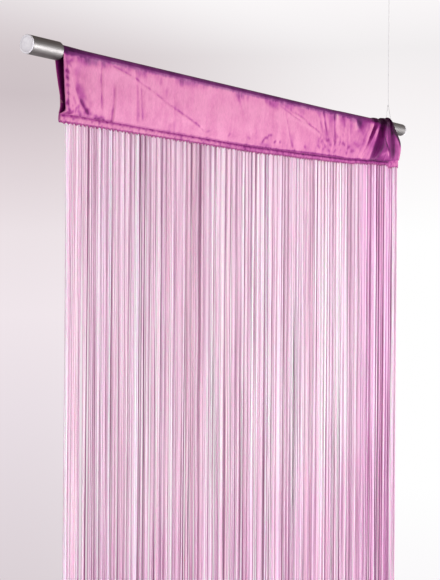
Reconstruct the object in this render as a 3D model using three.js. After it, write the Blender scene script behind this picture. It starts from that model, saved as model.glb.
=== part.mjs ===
// String curtain on a hanging rod: a satin header whose pocket goes over the rod, a comb of strings
// along its hem, a sleeve and an end cap on each end of the rod, and the clear line that holds it up.
//
// Millimetres. X runs along the rod, -Y is the front of the curtain and +Z is up.
// The origin is the middle of the rod, on its axis.
import * as THREE from "three";

// ---------------------------------------------------------------- driving sizes

const CLEAR = 0.3; // between hard pieces that fit each other
const ROUND_MIDDLE = 1 - Math.SQRT1_2; // how far in from its corner the middle of a rounded edge lies

const ROD = { radius: 7.5, bore: 6.3, showing: 955, sides: 32 };
const SLEEVE = { radius: 12.5, length: 56, socketDeep: 30, cupRadius: 11, cupDeep: 8, round: 1.2, sides: 40 };
const CAP = { thick: 2.4, rim: 2.6, dish: 0.7, spigotLong: 6, round: 0.8 };

const CLOTH = { left: -475.5, right: 512, thick: 1, rodGap: 0.4, hemTall: 10, hemThick: 2.6, halfGap: 0.8 };

// The gather: the header is pushed along the rod against the line, so its top edge is shorter than its hem.
const GATHER = { from: 424, topRight: 470, looseFrom: -4, looseTo: -46 };

const STRINGS = { left: -463, right: 510, length: 1900, deep: 2.4, hemGap: 0.4, barTall: 3 };
const LOCKS = { count: 47, share: 0.56 }; // the strings hang in locks that fill this share of each pitch

const LINE = { diameter: 1, sides: 8, x: 473.5, rodGap: 0.4, standingSteps: 24 };
const LOOP = { legY: 1.1, leaveAngle: 0.2, turns: 16, steps: 40 };
const KNOT = { z: 44, radius: 1.7, halfTall: 2.6, sides: 16 };
const FITTING = { bottomZ: 276, topZ: 298, socketDeep: 6, sides: 40 };

// The knot's outline, in shares of its radius and half its height: two turns with a waist between them.
const KNOT_OUTLINE = [
  { wide: 0.75, up: -1 },
  { wide: 1, up: -0.45 },
  { wide: 0.82, up: 0 },
  { wide: 1, up: 0.45 },
  { wide: 0.6, up: 1 },
];

// The ceiling fitting's outline from its nose up to its base: each radius and its height over the nose.
const FITTING_OUTLINE = [
  { radius: 3, up: 0 },
  { radius: 4, up: 1 },
  { radius: 4.5, up: 9 },
  { radius: 7, up: 15 },
  { radius: 13, up: 19 },
  { radius: 13, up: 22 },
];

// In these tables s is the place along the hem, and each column of cloth keeps its s up to the rod.
// How far the hem's lower edge hangs below the rod's axis, and how far it swings forward (-) or back (+).
const HEM = [
  { s: -475.5, drop: 91.5, swing: -1.5 },
  { s: -400, drop: 93.0, swing: 0.5 },
  { s: -220, drop: 94.2, swing: 1.5 },
  { s: -40, drop: 95.6, swing: 0 },
  { s: 120, drop: 94.2, swing: -1 },
  { s: 290, drop: 91.8, swing: 1 },
  { s: 372, drop: 87.0, swing: 0 },
  { s: 400, drop: 85.0, swing: -3.5 },
  { s: 425, drop: 84.2, swing: 2 },
  { s: 452, drop: 83.4, swing: -4 },
  { s: 478, drop: 83.8, swing: 1 },
  { s: 512, drop: 81.0, swing: -3 },
];

// How far each layer of the pocket bellies out between the rod and the hem, and how low the front layer's
// belly sits (1 is halfway down, more is nearer to the hem).
const BELLY = [
  { s: -475.5, front: 12, low: 2.5, back: -2.5 },
  { s: -445, front: 2.5, low: 2, back: 0.5 },
  { s: -400, front: 3, low: 1.5, back: 2 },
  { s: -300, front: 2, low: 1.4, back: 2.5 },
  { s: -160, front: 3, low: 1.5, back: 2 },
  { s: 0, front: 2.2, low: 1.4, back: 2.5 },
  { s: 150, front: 3, low: 1.4, back: 2 },
  { s: 300, front: 2.5, low: 1.5, back: 3 },
  { s: 400, front: 4, low: 1.4, back: 4 },
  { s: 512, front: 3, low: 1.4, back: 5 },
];

// Folds of the front layer, each from the rod (at) down to the hem (foot). Proud is forward, and a trough
// has it below zero.
const FOLDS = [
  { at: -452, foot: -425, wide: 15, proud: -2.6 },
  { at: -404, foot: -399, wide: 13, proud: -1.4 },
  { at: -372, foot: -381, wide: 13, proud: -1.6 },
  { at: -318, foot: -315, wide: 14, proud: -1.2 },
  { at: -247, foot: -250, wide: 14, proud: -1.2 },
  { at: -148, foot: -164, wide: 16, proud: -1.5 },
  { at: -80, foot: -42, wide: 14, proud: -1.4 },
  { at: 10, foot: -28, wide: 14, proud: 1.2 },
  { at: 66, foot: 88, wide: 14, proud: -1.4 },
  { at: 201, foot: 209, wide: 14, proud: -1.5 },
  { at: 244, foot: 242, wide: 13, proud: -1.5 },
  { at: 300, foot: 276, wide: 14, proud: 1.4 },
  { at: 398, foot: 352, wide: 9, proud: -2.2 },
  { at: 432, foot: 372, wide: 9, proud: 5 },
  { at: 462, foot: 404, wide: 9, proud: 9 },
  { at: 478, foot: 446, wide: 8, proud: 4.5 },
  { at: 494, foot: 482, wide: 6, proud: -3 },
  { at: 503, foot: 503, wide: 8, proud: 3 },
];

// A fold has only part of its reach on the rod and all of it a third of the way down. A trough starts lower.
const FOLD_GROWTH = { atRod: 0.35, fullBy: 0.35, troughFrom: 0.12, troughOver: 0.2 };

// The front layer keeps to the plane of the rod's front for a while before it closes in on the hem.
const HANG_POWER = 1.15;

// The right-hand edge of the front layer swings out in front of the sleeve beside it.
const EDGE = { from: 455, reach: 6, atRod: 0.5, fullBy: 0.1, easeFrom: 0.35, easeOver: 0.6 };
const EDGE_BELOW_SLEEVE = 2; // the back layer's edge spreads only this far below the sleeve

// How high the bunched cloth stands over the rod. A quarter of that rise also stands out behind it.
const BUNCH_BEHIND = 0.25;
const BUNCH = [
  { s: 340, rise: 0 },
  { s: 372, rise: 1.2 },
  { s: 388, rise: 0.4 },
  { s: 404, rise: 3 },
  { s: 418, rise: 1.2 },
  { s: 432, rise: 6 },
  { s: 443, rise: 2.5 },
  { s: 455, rise: 8 },
  { s: 467, rise: 3 },
  { s: 479, rise: 8.5 },
  { s: 490, rise: 3.5 },
  { s: 501, rise: 7 },
  { s: 512, rise: 2.5 },
];

// Column spacing across the header: wide where it hangs flat, close in the gather.
const COLUMN_ZONES = [
  { to: 340, step: 16 },
  { to: CLOTH.right, step: 5.6 },
];

// ---------------------------------------------------------------- small helpers

const smooth = (t) => {
  const c = THREE.MathUtils.clamp(t, 0, 1);
  return c * c * (3 - 2 * c);
};

/** Value of one column of a table at s, eased from row to row. */
function lookUp(rows, column, s) {
  const next = rows.findIndex((row) => row.s > s);
  if (next === 0) return rows[0][column];
  if (next < 0) return rows[rows.length - 1][column];
  const a = rows[next - 1];
  const b = rows[next];
  return THREE.MathUtils.lerp(a[column], b[column], smooth((s - a.s) / (b.s - a.s)));
}

function closedGeometry(points, triangles) {
  const geometry = new THREE.BufferGeometry();
  geometry.setAttribute("position", new THREE.Float32BufferAttribute(points.flat(), 3));
  geometry.setIndex(triangles.flat());
  geometry.computeVertexNormals();
  return geometry;
}

/** A lathe about the X axis: the profile's rows are [radius, x]. */
function turnedAlongX(profile, sides) {
  const points = profile.map(([radius, x]) => new THREE.Vector2(radius, x));
  return new THREE.LatheGeometry(points, sides).rotateZ(-Math.PI / 2);
}

/** A lathe about the Z axis: the profile's rows are [radius, z]. */
function turnedAlongZ(profile, sides) {
  const points = profile.map(([radius, z]) => new THREE.Vector2(radius, z));
  return new THREE.LatheGeometry(points, sides).rotateX(Math.PI / 2);
}

function mesh(name, geometry, material) {
  const piece = new THREE.Mesh(geometry, material);
  piece.name = name;
  return piece;
}

// ---------------------------------------------------------------- rod, sleeves and caps

const rodHalfShowing = ROD.showing / 2;
const rodHalfLength = rodHalfShowing + SLEEVE.socketDeep - CLEAR;

function rodGeometry() {
  const profile = [
    [ROD.bore, -rodHalfLength],
    [ROD.radius, -rodHalfLength],
    [ROD.radius, rodHalfLength],
    [ROD.bore, rodHalfLength],
    [ROD.bore, -rodHalfLength],
  ];
  return turnedAlongX(profile, ROD.sides);
}

/** The sleeve of the +X end, from its shoulder at x = 0 out, with the rod's socket and the cap's cup. */
function sleeveGeometry() {
  const end = SLEEVE.length - CAP.thick - CLEAR;
  const socketRadius = ROD.radius + CLEAR;
  const profile = [
    [0, SLEEVE.socketDeep],
    [socketRadius, SLEEVE.socketDeep],
    [socketRadius, 0],
    [SLEEVE.radius - SLEEVE.round, 0],
    [SLEEVE.radius - SLEEVE.round * ROUND_MIDDLE, SLEEVE.round * ROUND_MIDDLE],
    [SLEEVE.radius, SLEEVE.round],
    [SLEEVE.radius, end],
    [SLEEVE.cupRadius, end],
    [SLEEVE.cupRadius, end - SLEEVE.cupDeep],
    [0, end - SLEEVE.cupDeep],
  ];
  return turnedAlongX(profile, SLEEVE.sides);
}

/** The cap of the +X end: a dished disc with a raised rim, and the spigot that goes into the sleeve. */
function capGeometry() {
  const back = SLEEVE.length - CAP.thick;
  const front = SLEEVE.length;
  const spigot = SLEEVE.cupRadius - CLEAR;
  const dishRadius = SLEEVE.radius - CAP.rim;
  const profile = [
    [0, back - CAP.spigotLong],
    [spigot, back - CAP.spigotLong],
    [spigot, back],
    [SLEEVE.radius, back],
    [SLEEVE.radius, front - CAP.round],
    [SLEEVE.radius - CAP.round * ROUND_MIDDLE, front - CAP.round * ROUND_MIDDLE],
    [SLEEVE.radius - CAP.round, front],
    [dishRadius, front],
    [dishRadius - CAP.dish, front - CAP.dish],
    [0, front - CAP.dish],
  ];
  return turnedAlongX(profile, SLEEVE.sides);
}

// ---------------------------------------------------------------- header

// the middle of the cloth where it lies on the rod
const wrapRadius = ROD.radius + CLOTH.rodGap + CLOTH.thick / 2;
const WRAP_STEPS = 12;
const FRONT_STEPS = [1, 0.9, 0.78, 0.64, 0.5, 0.36, 0.22, 0.1, 0];
const BACK_STEPS = [0, 0.22, 0.45, 0.7, 1];

/** 0 in the flat of the header, 1 at its right-hand edge. */
const nearRightEdge = (s) => smooth((s - EDGE.from) / (CLOTH.right - EDGE.from));

/** How far below the rod's axis the two layers are stitched together, on top of the hem band. */
const stitchDrop = (s) => lookUp(HEM, "drop", s) - CLOTH.hemTall;

/** Where column s stands along the rod at height z: bunched up at the rod, spread out below it. */
function columnX(s, z) {
  if (s < GATHER.from) return s;
  const squeeze = (GATHER.topRight - GATHER.from) / (CLOTH.right - GATHER.from);
  const top = GATHER.from + (s - GATHER.from) * squeeze;
  const loose = smooth((GATHER.looseFrom - z) / (GATHER.looseFrom - GATHER.looseTo));
  return THREE.MathUtils.lerp(top, s, loose);
}

/** Forward reach of all the folds at column s and fraction u of the way from the rod to the stitch line. */
function foldReach(s, u) {
  const grown = THREE.MathUtils.lerp(FOLD_GROWTH.atRod, 1, smooth(u / FOLD_GROWTH.fullBy));
  const trough = smooth((u - FOLD_GROWTH.troughFrom) / FOLD_GROWTH.troughOver);
  const fade = Math.sqrt(Math.max(0, 1 - u)) * grown;
  return FOLDS.reduce((sum, fold) => {
    const offset = (s - THREE.MathUtils.lerp(fold.at, fold.foot, u)) / fold.wide;
    const held = fold.proud < 0 ? trough : 1;
    return sum + fold.proud * held * Math.exp(-offset * offset) * fade;
  }, 0);
}

/** Extra forward reach of the front layer where its right-hand edge passes the sleeve. */
function reachPastSleeve(s, u) {
  const grown = THREE.MathUtils.lerp(EDGE.atRod, 1, smooth(u / EDGE.fullBy));
  const eased = 1 - smooth((u - EDGE.easeFrom) / EDGE.easeOver);
  return nearRightEdge(s) * EDGE.reach * grown * eased;
}

/** Middle of the front layer at column s and fraction u of the way from the rod to the stitch line. */
function frontPoint(s, u) {
  const z = -u * stitchDrop(s);
  const closed = lookUp(HEM, "swing", s) - CLOTH.halfGap;
  const rest = THREE.MathUtils.lerp(-wrapRadius, closed, Math.pow(u, HANG_POWER));
  const belly = lookUp(BELLY, "front", s) * Math.sin(Math.PI * Math.pow(u, lookUp(BELLY, "low", s)));
  return [columnX(s, z), rest - belly - reachPastSleeve(s, u) - foldReach(s, u), z];
}

/** Middle of the cloth over the rod: angle runs from 180 degrees at the front to 0 at the back. */
function wrapPoint(s, angle) {
  const rise = lookUp(BUNCH, "rise", s);
  const front = -frontPoint(s, 0)[1];
  const reach = Math.cos(angle) < 0 ? front : wrapRadius + rise * BUNCH_BEHIND;
  const z = (wrapRadius + rise) * Math.sin(angle);
  return [columnX(s, z), reach * Math.cos(angle), z];
}

/** Middle of the back layer. Its edge stays short of the sleeve until it has passed below it. */
function backPoint(s, u) {
  const z = -u * stitchDrop(s);
  const start = wrapRadius + lookUp(BUNCH, "rise", s) * BUNCH_BEHIND;
  const rest = THREE.MathUtils.lerp(start, lookUp(HEM, "swing", s) + CLOTH.halfGap, u);
  const belly = lookUp(BELLY, "back", s) * Math.sin(Math.PI * u);
  return [columnX(s, z + SLEEVE.radius + EDGE_BELOW_SLEEVE), rest + belly, z];
}

/** Middle line of the cloth at column s: up the front, over the rod and down the back. */
function middleLine(s) {
  const front = FRONT_STEPS.map((u) => frontPoint(s, u));
  const wrap = [];
  for (let i = 1; i < WRAP_STEPS; i += 1) {
    wrap.push(wrapPoint(s, Math.PI * (1 - i / WRAP_STEPS)));
  }
  const back = BACK_STEPS.map((u) => backPoint(s, u));
  return [...front, ...wrap, ...back];
}

/** The middle line moved sideways by distance, away from the pocket when distance is positive. */
function offsetLine(line, distance) {
  return line.map(([x, y, z], i) => {
    const before = line[Math.max(0, i - 1)];
    const after = line[Math.min(line.length - 1, i + 1)];
    const dy = after[1] - before[1];
    const dz = after[2] - before[2];
    const size = Math.hypot(dy, dz);
    return [x, y - (dz / size) * distance, z + (dy / size) * distance];
  });
}

function columnList() {
  const columns = [CLOTH.left];
  for (const zone of COLUMN_ZONES) {
    const from = columns[columns.length - 1];
    const count = Math.round((zone.to - from) / zone.step);
    for (let i = 1; i <= count; i += 1) {
      columns.push(from + ((zone.to - from) * i) / count);
    }
  }
  return columns;
}

function headerGeometry() {
  const points = [];
  const triangles = [];
  const quad = (a, b, c, d) => triangles.push([a, b, c], [a, c, d]);
  let outerCount = 0;
  let innerCount = 0;

  const rings = columnList().map((s) => {
    const line = middleLine(s);
    const swing = lookUp(HEM, "swing", s);
    const bottom = -lookUp(HEM, "drop", s);
    const hemX = columnX(s, bottom);
    const outer = offsetLine(line, CLOTH.thick / 2);
    outer.push([hemX, swing + CLOTH.hemThick / 2, bottom], [hemX, swing - CLOTH.hemThick / 2, bottom]);
    const inner = offsetLine(line, -CLOTH.thick / 2);
    const first = points.length;
    points.push(...outer, ...inner);
    outerCount = outer.length;
    innerCount = inner.length;
    return { outer: first, inner: first + outer.length };
  });

  for (let k = 0; k + 1 < rings.length; k += 1) {
    const here = rings[k];
    const next = rings[k + 1];
    for (let i = 0; i < outerCount; i += 1) {
      const j = (i + 1) % outerCount;
      quad(here.outer + i, next.outer + i, next.outer + j, here.outer + j);
    }
    for (let i = 0; i < innerCount; i += 1) {
      const j = (i + 1) % innerCount;
      quad(here.inner + i, here.inner + j, next.inner + j, next.inner + i);
    }
  }

  // The two ends: the rim between the outside and the pocket, and the end of the hem.
  const closeEnd = (ring, flip) => {
    const face = (a, b, c, d) => (flip ? quad(a, d, c, b) : quad(a, b, c, d));
    for (let i = 0; i + 1 < innerCount; i += 1) {
      face(ring.outer + i, ring.outer + i + 1, ring.inner + i + 1, ring.inner + i);
    }
    const last = innerCount - 1;
    face(ring.outer + last, ring.outer + last + 1, ring.outer + last + 2, ring.inner + last);
    face(ring.outer + last + 2, ring.outer, ring.inner, ring.inner + last);
  };
  closeEnd(rings[0], false);
  closeEnd(rings[rings.length - 1], true);
  return closedGeometry(points, triangles);
}

// ---------------------------------------------------------------- strings

/** One comb: a narrow bar along the hem with the strings hanging from it in locks. */
function combGeometry() {
  const pitch = (STRINGS.right - STRINGS.left) / (LOCKS.count - 1 + LOCKS.share);
  const lockWide = pitch * LOCKS.share;
  const barTop = (x) => -lookUp(HEM, "drop", x) - STRINGS.hemGap;
  const barBottom = (x) => barTop(x) - STRINGS.barTall;
  const bottom = -lookUp(HEM, "drop", 0) - STRINGS.length;

  const upper = [];
  const lower = [];
  for (let i = 0; i < LOCKS.count; i += 1) {
    const left = STRINGS.left + i * pitch;
    const right = left + lockWide;
    if (i > 0) lower.push([left, barBottom(left)]);
    lower.push([left, bottom], [right, bottom]);
    if (i + 1 < LOCKS.count) lower.push([right, barBottom(right)]);
    upper.push([left, barTop(left)], [right, barTop(right)]);
  }
  const outline = [...lower, ...upper.reverse()].map(([x, z]) => new THREE.Vector2(x, z));
  const geometry = new THREE.ExtrudeGeometry(new THREE.Shape(outline), {
    depth: STRINGS.deep,
    bevelEnabled: false,
  });
  geometry.rotateX(Math.PI / 2).translate(0, STRINGS.deep / 2, 0);

  // the comb hangs straight down from wherever the hem has swung to
  const position = geometry.getAttribute("position");
  for (let i = 0; i < position.count; i += 1) {
    position.setY(i, position.getY(i) + lookUp(HEM, "swing", position.getX(i)));
  }
  return geometry;
}

// ---------------------------------------------------------------- hanging line

function lineTube(route, steps) {
  const radius = LINE.diameter / 2;
  const section = new THREE.Shape();
  for (let i = 0; i < LINE.sides; i += 1) {
    const turn = (2 * Math.PI * i) / LINE.sides;
    const corner = [radius * Math.cos(turn), radius * Math.sin(turn)];
    if (i === 0) section.moveTo(...corner);
    else section.lineTo(...corner);
  }
  section.closePath();
  return new THREE.ExtrudeGeometry(section, { steps, bevelEnabled: false, extrudePath: route });
}

/** The line's loop: from the knot down in front of the rod, under it and up behind to the knot again. */
function loopRoute() {
  const radius = ROD.radius + LINE.rodGap + LINE.diameter / 2;
  const top = KNOT.z - KNOT.halfTall - CLEAR;
  const start = Math.PI - LOOP.leaveAngle; // each leg leaves the rod a little above its side
  const sweep = Math.PI + 2 * LOOP.leaveAngle;
  const around = [];
  for (let i = 0; i <= LOOP.turns; i += 1) {
    const angle = start + (sweep * i) / LOOP.turns;
    around.push(new THREE.Vector3(LINE.x, radius * Math.cos(angle), radius * Math.sin(angle)));
  }
  const leg = (side, share) => {
    const from = around[0];
    const y = THREE.MathUtils.lerp(Math.abs(from.y), LOOP.legY, share);
    return new THREE.Vector3(LINE.x, side * y, THREE.MathUtils.lerp(from.z, top, share));
  };
  const shares = [0.25, 0.5, 0.75, 1];
  const down = shares.map((share) => leg(-1, share)).reverse();
  const up = shares.map((share) => leg(1, share));
  return new THREE.CatmullRomCurve3([...down, ...around, ...up], false, "centripetal");
}

/** The line's standing part: straight up from the knot into the ceiling fitting. */
function standingRoute() {
  const from = new THREE.Vector3(LINE.x, 0, KNOT.z + KNOT.halfTall + CLEAR);
  const to = new THREE.Vector3(LINE.x, 0, FITTING.bottomZ + FITTING.socketDeep - CLEAR);
  return new THREE.LineCurve3(from, to);
}

function knotGeometry() {
  const bulges = KNOT_OUTLINE.map(({ wide, up }) => [KNOT.radius * wide, KNOT.halfTall * up]);
  return turnedAlongZ([[0, -KNOT.halfTall], ...bulges, [0, KNOT.halfTall]], KNOT.sides);
}

/** The ceiling fitting: a flat round base that tapers to a nose, with the socket that takes the line. */
function fittingGeometry() {
  const socketRadius = LINE.diameter / 2 + CLEAR;
  const socketTop = FITTING.bottomZ + FITTING.socketDeep;
  const outline = FITTING_OUTLINE.map(({ radius, up }) => [radius, FITTING.bottomZ + up]);
  const socket = [
    [0, socketTop],
    [socketRadius, socketTop],
    [socketRadius, FITTING.bottomZ],
  ];
  return turnedAlongZ([...socket, ...outline, [0, FITTING.topZ]], FITTING.sides);
}

// ---------------------------------------------------------------- materials and assembly

const satinMetal = new THREE.MeshStandardMaterial({ color: 0xb9b8b6, roughness: 0.32, metalness: 0.95 });
const palePlastic = new THREE.MeshStandardMaterial({ color: 0xdcd8dc, roughness: 0.45, metalness: 0 });
const pinkSatin = new THREE.MeshStandardMaterial({ color: 0xd878ae, roughness: 0.4, metalness: 0 });
const pinkString = new THREE.MeshStandardMaterial({ color: 0xd9a6c6, roughness: 0.6, metalness: 0 });
const clearLine = new THREE.MeshStandardMaterial({ color: 0xe4e6e6, roughness: 0.2, metalness: 0 });

const curtain = new THREE.Group();
curtain.add(mesh("rod_tube", rodGeometry(), satinMetal));

for (const end of [
  { side: "left", turn: Math.PI },
  { side: "right", turn: 0 },
]) {
  const group = new THREE.Group();
  group.rotation.z = end.turn;
  const shoulder = new THREE.Group();
  shoulder.position.x = rodHalfShowing;
  shoulder.add(mesh(`${end.side}_sleeve`, sleeveGeometry(), satinMetal));
  shoulder.add(mesh(`${end.side}_cap`, capGeometry(), palePlastic));
  group.add(shoulder);
  curtain.add(group);
}

curtain.add(mesh("header", headerGeometry(), pinkSatin));
curtain.add(mesh("string_comb", combGeometry(), pinkString));
curtain.add(mesh("line_loop", lineTube(loopRoute(), LOOP.steps), clearLine));
curtain.add(mesh("hanging_line", lineTube(standingRoute(), LINE.standingSteps), clearLine));

const knot = mesh("line_knot", knotGeometry(), clearLine);
knot.position.set(LINE.x, 0, KNOT.z);
curtain.add(knot);

const fitting = mesh("ceiling_fitting", fittingGeometry(), satinMetal);
fitting.position.x = LINE.x;
curtain.add(fitting);

export default curtain;
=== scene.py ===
"""Looks of the string curtain: satin header, fringe of strings, rod with sleeves, and hanging line.

Shapes are worked out in millimetres, in the frame of the CAD part: X along the rod, -Y the front,
+Z up, origin in the middle of the rod. They become metres when a mesh is made.
"""

import math

import bpy
import numpy as np
from mathutils import Matrix


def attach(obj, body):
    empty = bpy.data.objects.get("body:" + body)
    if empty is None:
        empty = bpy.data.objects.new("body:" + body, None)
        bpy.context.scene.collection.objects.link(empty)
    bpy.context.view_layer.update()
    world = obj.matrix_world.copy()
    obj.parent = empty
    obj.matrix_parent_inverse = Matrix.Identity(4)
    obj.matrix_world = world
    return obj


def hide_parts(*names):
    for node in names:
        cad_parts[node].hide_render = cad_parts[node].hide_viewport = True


MM = 0.001
SEED = 7
TURN = 6.28  # about a full turn, in radians

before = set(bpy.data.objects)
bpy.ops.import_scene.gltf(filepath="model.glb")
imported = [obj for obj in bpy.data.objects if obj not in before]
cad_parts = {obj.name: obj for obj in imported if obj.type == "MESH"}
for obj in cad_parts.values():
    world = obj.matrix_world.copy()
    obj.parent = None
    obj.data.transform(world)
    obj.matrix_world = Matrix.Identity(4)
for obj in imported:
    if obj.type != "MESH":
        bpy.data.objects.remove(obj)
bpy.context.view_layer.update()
scene = bpy.context.scene
scene.view_settings.view_transform = "Standard"

# ---- camera

CAMERA_PLACE = (-1.4155, -0.972, -0.270)
CAMERA_HEADING = math.radians(53.28)  # from +Y towards +X
CAMERA_ROLL = 0.0073
CAMERA_LENS = 62.07
CAMERA_SHIFT = -0.0607


def stand(item, right, top, back, place):
    """Adds an object to the scene with its own axes along right, top and back."""
    columns = (right, top, back, place)
    item.matrix_world = Matrix([[*(c[i] for c in columns)] for i in range(3)] + [[0, 0, 0, 1]])
    scene.collection.objects.link(item)


def add_camera():
    forward = np.array([math.sin(CAMERA_HEADING), math.cos(CAMERA_HEADING), 0])
    level = np.array([math.cos(CAMERA_HEADING), -math.sin(CAMERA_HEADING), 0])
    upright = np.array([0, 0, 1])
    right = level * math.cos(CAMERA_ROLL) + upright * math.sin(CAMERA_ROLL)
    top = upright * math.cos(CAMERA_ROLL) - level * math.sin(CAMERA_ROLL)
    data = bpy.data.cameras.new("camera")
    data.lens = CAMERA_LENS
    data.shift_y = CAMERA_SHIFT
    data.clip_start = 0.01
    camera = bpy.data.objects.new("camera", data)
    stand(camera, right, top, -forward, CAMERA_PLACE)
    scene.camera = camera


add_camera()

# ---- sizes, as in the CAD part

ROD = {"radius": 7.5, "bore": 6.3, "showing": 955}
SLEEVE = {"radius": 12.5, "length": 56, "socket": 30, "cup": 11, "cup_deep": 8, "round": 1.2}
CAP = {"thick": 2.4, "rim": 2.6, "dish": 0.7, "spigot": 6, "round": 0.8}
CLEAR = 0.3
CLOTH = {"left": -475.5, "right": 512.0, "half_gap": 0.8, "side_hem": 8.5}
WRAP_RADIUS = 8.0
OUTER_SKIN = 0.5  # how far the cloth's outside stands off its middle line
HANG_POWER = 1.15
LINE = {"x": 473.5, "diameter": 1.0, "rod_gap": 0.4, "leg_y": 1.1, "leave": 0.2}
KNOT = {"z": 44.0, "half_tall": 2.6, "radius": 1.15, "turns": 4}
FITTING = {"bottom": 276.0, "top": 298.0, "socket": 6.0}
STRINGS = {"left": -463.5, "right": 508.5, "length": 1898.0}

# s, drop of the hem's lower edge under the rod's axis, swing forward (-) or back (+), height of the band
HEM = np.array([
    (-475.5, 94.8, -1.5, 12.0), (-440, 94.2, -0.5, 12.0), (-400, 94.0, 0.5, 11.4), (-220, 94.2, 1.5, 10),
    (-40, 95.6, 0, 10), (120, 93.6, -1, 9.6), (200, 91.6, 0, 9.4), (290, 89.8, 1, 9.4), (372, 85.2, 0, 8.4),
    (400, 83.0, -3.5, 7.8), (425, 82.2, 2, 7.8), (452, 82.2, -4, 8.6), (478, 84.2, 1, 13.6),
    (512, 81.6, -3, 15.0),
])
DROP, SWING, BAND = 1, 2, 3
# s, belly of the front layer, how low it sits, belly of the back layer
BELLY = np.array([
    (-475.5, 0, 1.5, -1), (-445, 2.5, 2, 0.5), (-400, 3, 1.5, 2), (-300, 2, 1.4, 2.5), (-160, 3, 1.5, 2),
    (0, 2.2, 1.4, 2.5), (150, 3, 1.4, 2), (300, 2.5, 1.5, 3), (400, 4, 1.4, 4), (512, 3, 1.4, 5),
])
FRONT_BELLY, BELLY_LOW, BACK_BELLY = 1, 2, 3


def smooth(t):
    """From 0 to 1 as t does, with a gentle start and end."""
    c = np.clip(t, 0, 1)
    return c * c * (3 - 2 * c)


def lerp(a, b, t):
    return a + (b - a) * t


def ease(value, start, width, low=0.0, high=1.0):
    """From low to high, gently, as the value goes from start to start + width."""
    return lerp(low, high, smooth((value - start) / width))


def hump(value, centre, wide, power=2):
    """1 where the value is at the centre, fading to 0 on both sides."""
    return np.exp(-(((value - centre) / wide) ** power))


def look_up(rows, column, s):
    """One column of a table at s, eased from row to row."""
    s = np.asarray(s, float)
    i = np.clip(np.searchsorted(rows[:, 0], s, side="right") - 1, 0, len(rows) - 2)
    return ease(s, rows[i, 0], rows[i + 1, 0] - rows[i, 0], rows[i, column], rows[i + 1, column])


def stitch_drop(s):
    """How far the hem's stitch line lies under the rod's axis."""
    return look_up(HEM, DROP, s) - look_up(HEM, BAND, s)


def soft_noise(s, z, draw, sizes):
    """Seeded smooth noise: a sum of slanted waves of about these sizes. Each use has a draw of its own."""
    dice = np.random.default_rng(SEED + draw)
    waves_each = 5
    total = np.zeros_like(s)
    for size in sizes:
        for _ in range(waves_each):
            tilt = dice.uniform(-0.6, 0.6)
            phase = dice.uniform(0, TURN)
            swing = dice.uniform(0.6, 1.0)
            along = s * math.cos(tilt) + z * math.sin(tilt)
            total += swing * np.sin(along * TURN / (size * dice.uniform(0.7, 1.4)) + phase)
    return total / (len(sizes) * 2.2)


# ---- hanging line, as one cord


def line_route():
    """Knot, front leg, under the rod, back leg, through the knot and up to the ceiling fitting."""
    radius = ROD["radius"] + LINE["rod_gap"] + LINE["diameter"] / 2
    start = math.pi - LINE["leave"]
    sweep = math.pi + 2 * LINE["leave"]
    turn = [start + sweep * i / 16 for i in range(17)]
    arc = [(radius * math.cos(a), radius * math.sin(a)) for a in turn]
    y0, z0 = -arc[0][0], arc[0][1]
    top = KNOT["z"] - KNOT["half_tall"] - CLEAR
    legs = [(lerp(y0, LINE["leg_y"], k), lerp(z0, top, k)) for k in (0.25, 0.5, 0.75, 1)]
    front = [(-y, z) for y, z in reversed(legs)]
    upper = KNOT["z"] + KNOT["half_tall"] + CLEAR
    end = FITTING["bottom"] + FITTING["socket"] - CLEAR
    through = [(0.45, KNOT["z"] - 0.6), (0.0, KNOT["z"] + 1.6), (0.0, upper + 4)]
    standing = [(0.0, lerp(upper + 4, end, k / 8)) for k in range(1, 9)]
    return [(LINE["x"], y, z) for y, z in front + arc + legs + through + standing]


def add_line(material):
    points = line_route()
    data = bpy.data.curves.new("clear_line", "CURVE")
    data.dimensions = "3D"
    data.bevel_depth = LINE["diameter"] / 2 * MM
    data.bevel_resolution = 4
    data.resolution_u = 6
    data.use_fill_caps = True
    data.materials.append(material)
    spline = data.splines.new("BEZIER")
    spline.bezier_points.add(len(points) - 1)
    for dot, place in zip(spline.bezier_points, points):
        dot.co = [v * MM for v in place]
        dot.handle_left_type = "AUTO"
        dot.handle_right_type = "AUTO"
    item = bpy.data.objects.new("clear_line", data)
    scene.collection.objects.link(item)
    return item


# ---- mesh helpers


def add_mesh(name, points, faces, materials, slots=None, attributes=(), uv=None):
    """A smooth-shaded mesh object from points in millimetres. Each face can have a material slot, and each
    point can have numbers or colours (red, green, blue, 1) of its own, and a place on the texture map."""
    data = bpy.data.meshes.new(name)
    data.from_pydata((np.asarray(points) * MM).tolist(), [], faces)
    for material in materials:
        data.materials.append(material)
    if slots is not None:
        data.polygons.foreach_set("material_index", np.asarray(slots, np.int32))
    for label, values in dict(attributes).items():
        kind, field = ("FLOAT", "value") if values.ndim == 1 else ("FLOAT_COLOR", "color")
        layer = data.attributes.new(label, kind, "POINT")
        layer.data.foreach_set(field, values.astype(np.float32).ravel())
    if uv is not None:
        corners = np.zeros(len(data.loops), np.int32)
        data.loops.foreach_get("vertex_index", corners)
        layer = data.uv_layers.new(name="UVMap")
        layer.data.foreach_set("uv", np.asarray(uv, np.float32)[corners].ravel())
    data.polygons.foreach_set("use_smooth", np.ones(len(data.polygons), bool))
    data.update()
    item = bpy.data.objects.new(name, data)
    scene.collection.objects.link(item)
    return item


def around(sides):
    """The angles of a regular ring's corners."""
    return 2 * np.pi * np.arange(sides) / sides


SHARP = math.radians(32)  # turned edges steeper than this are shaded as corners


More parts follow.
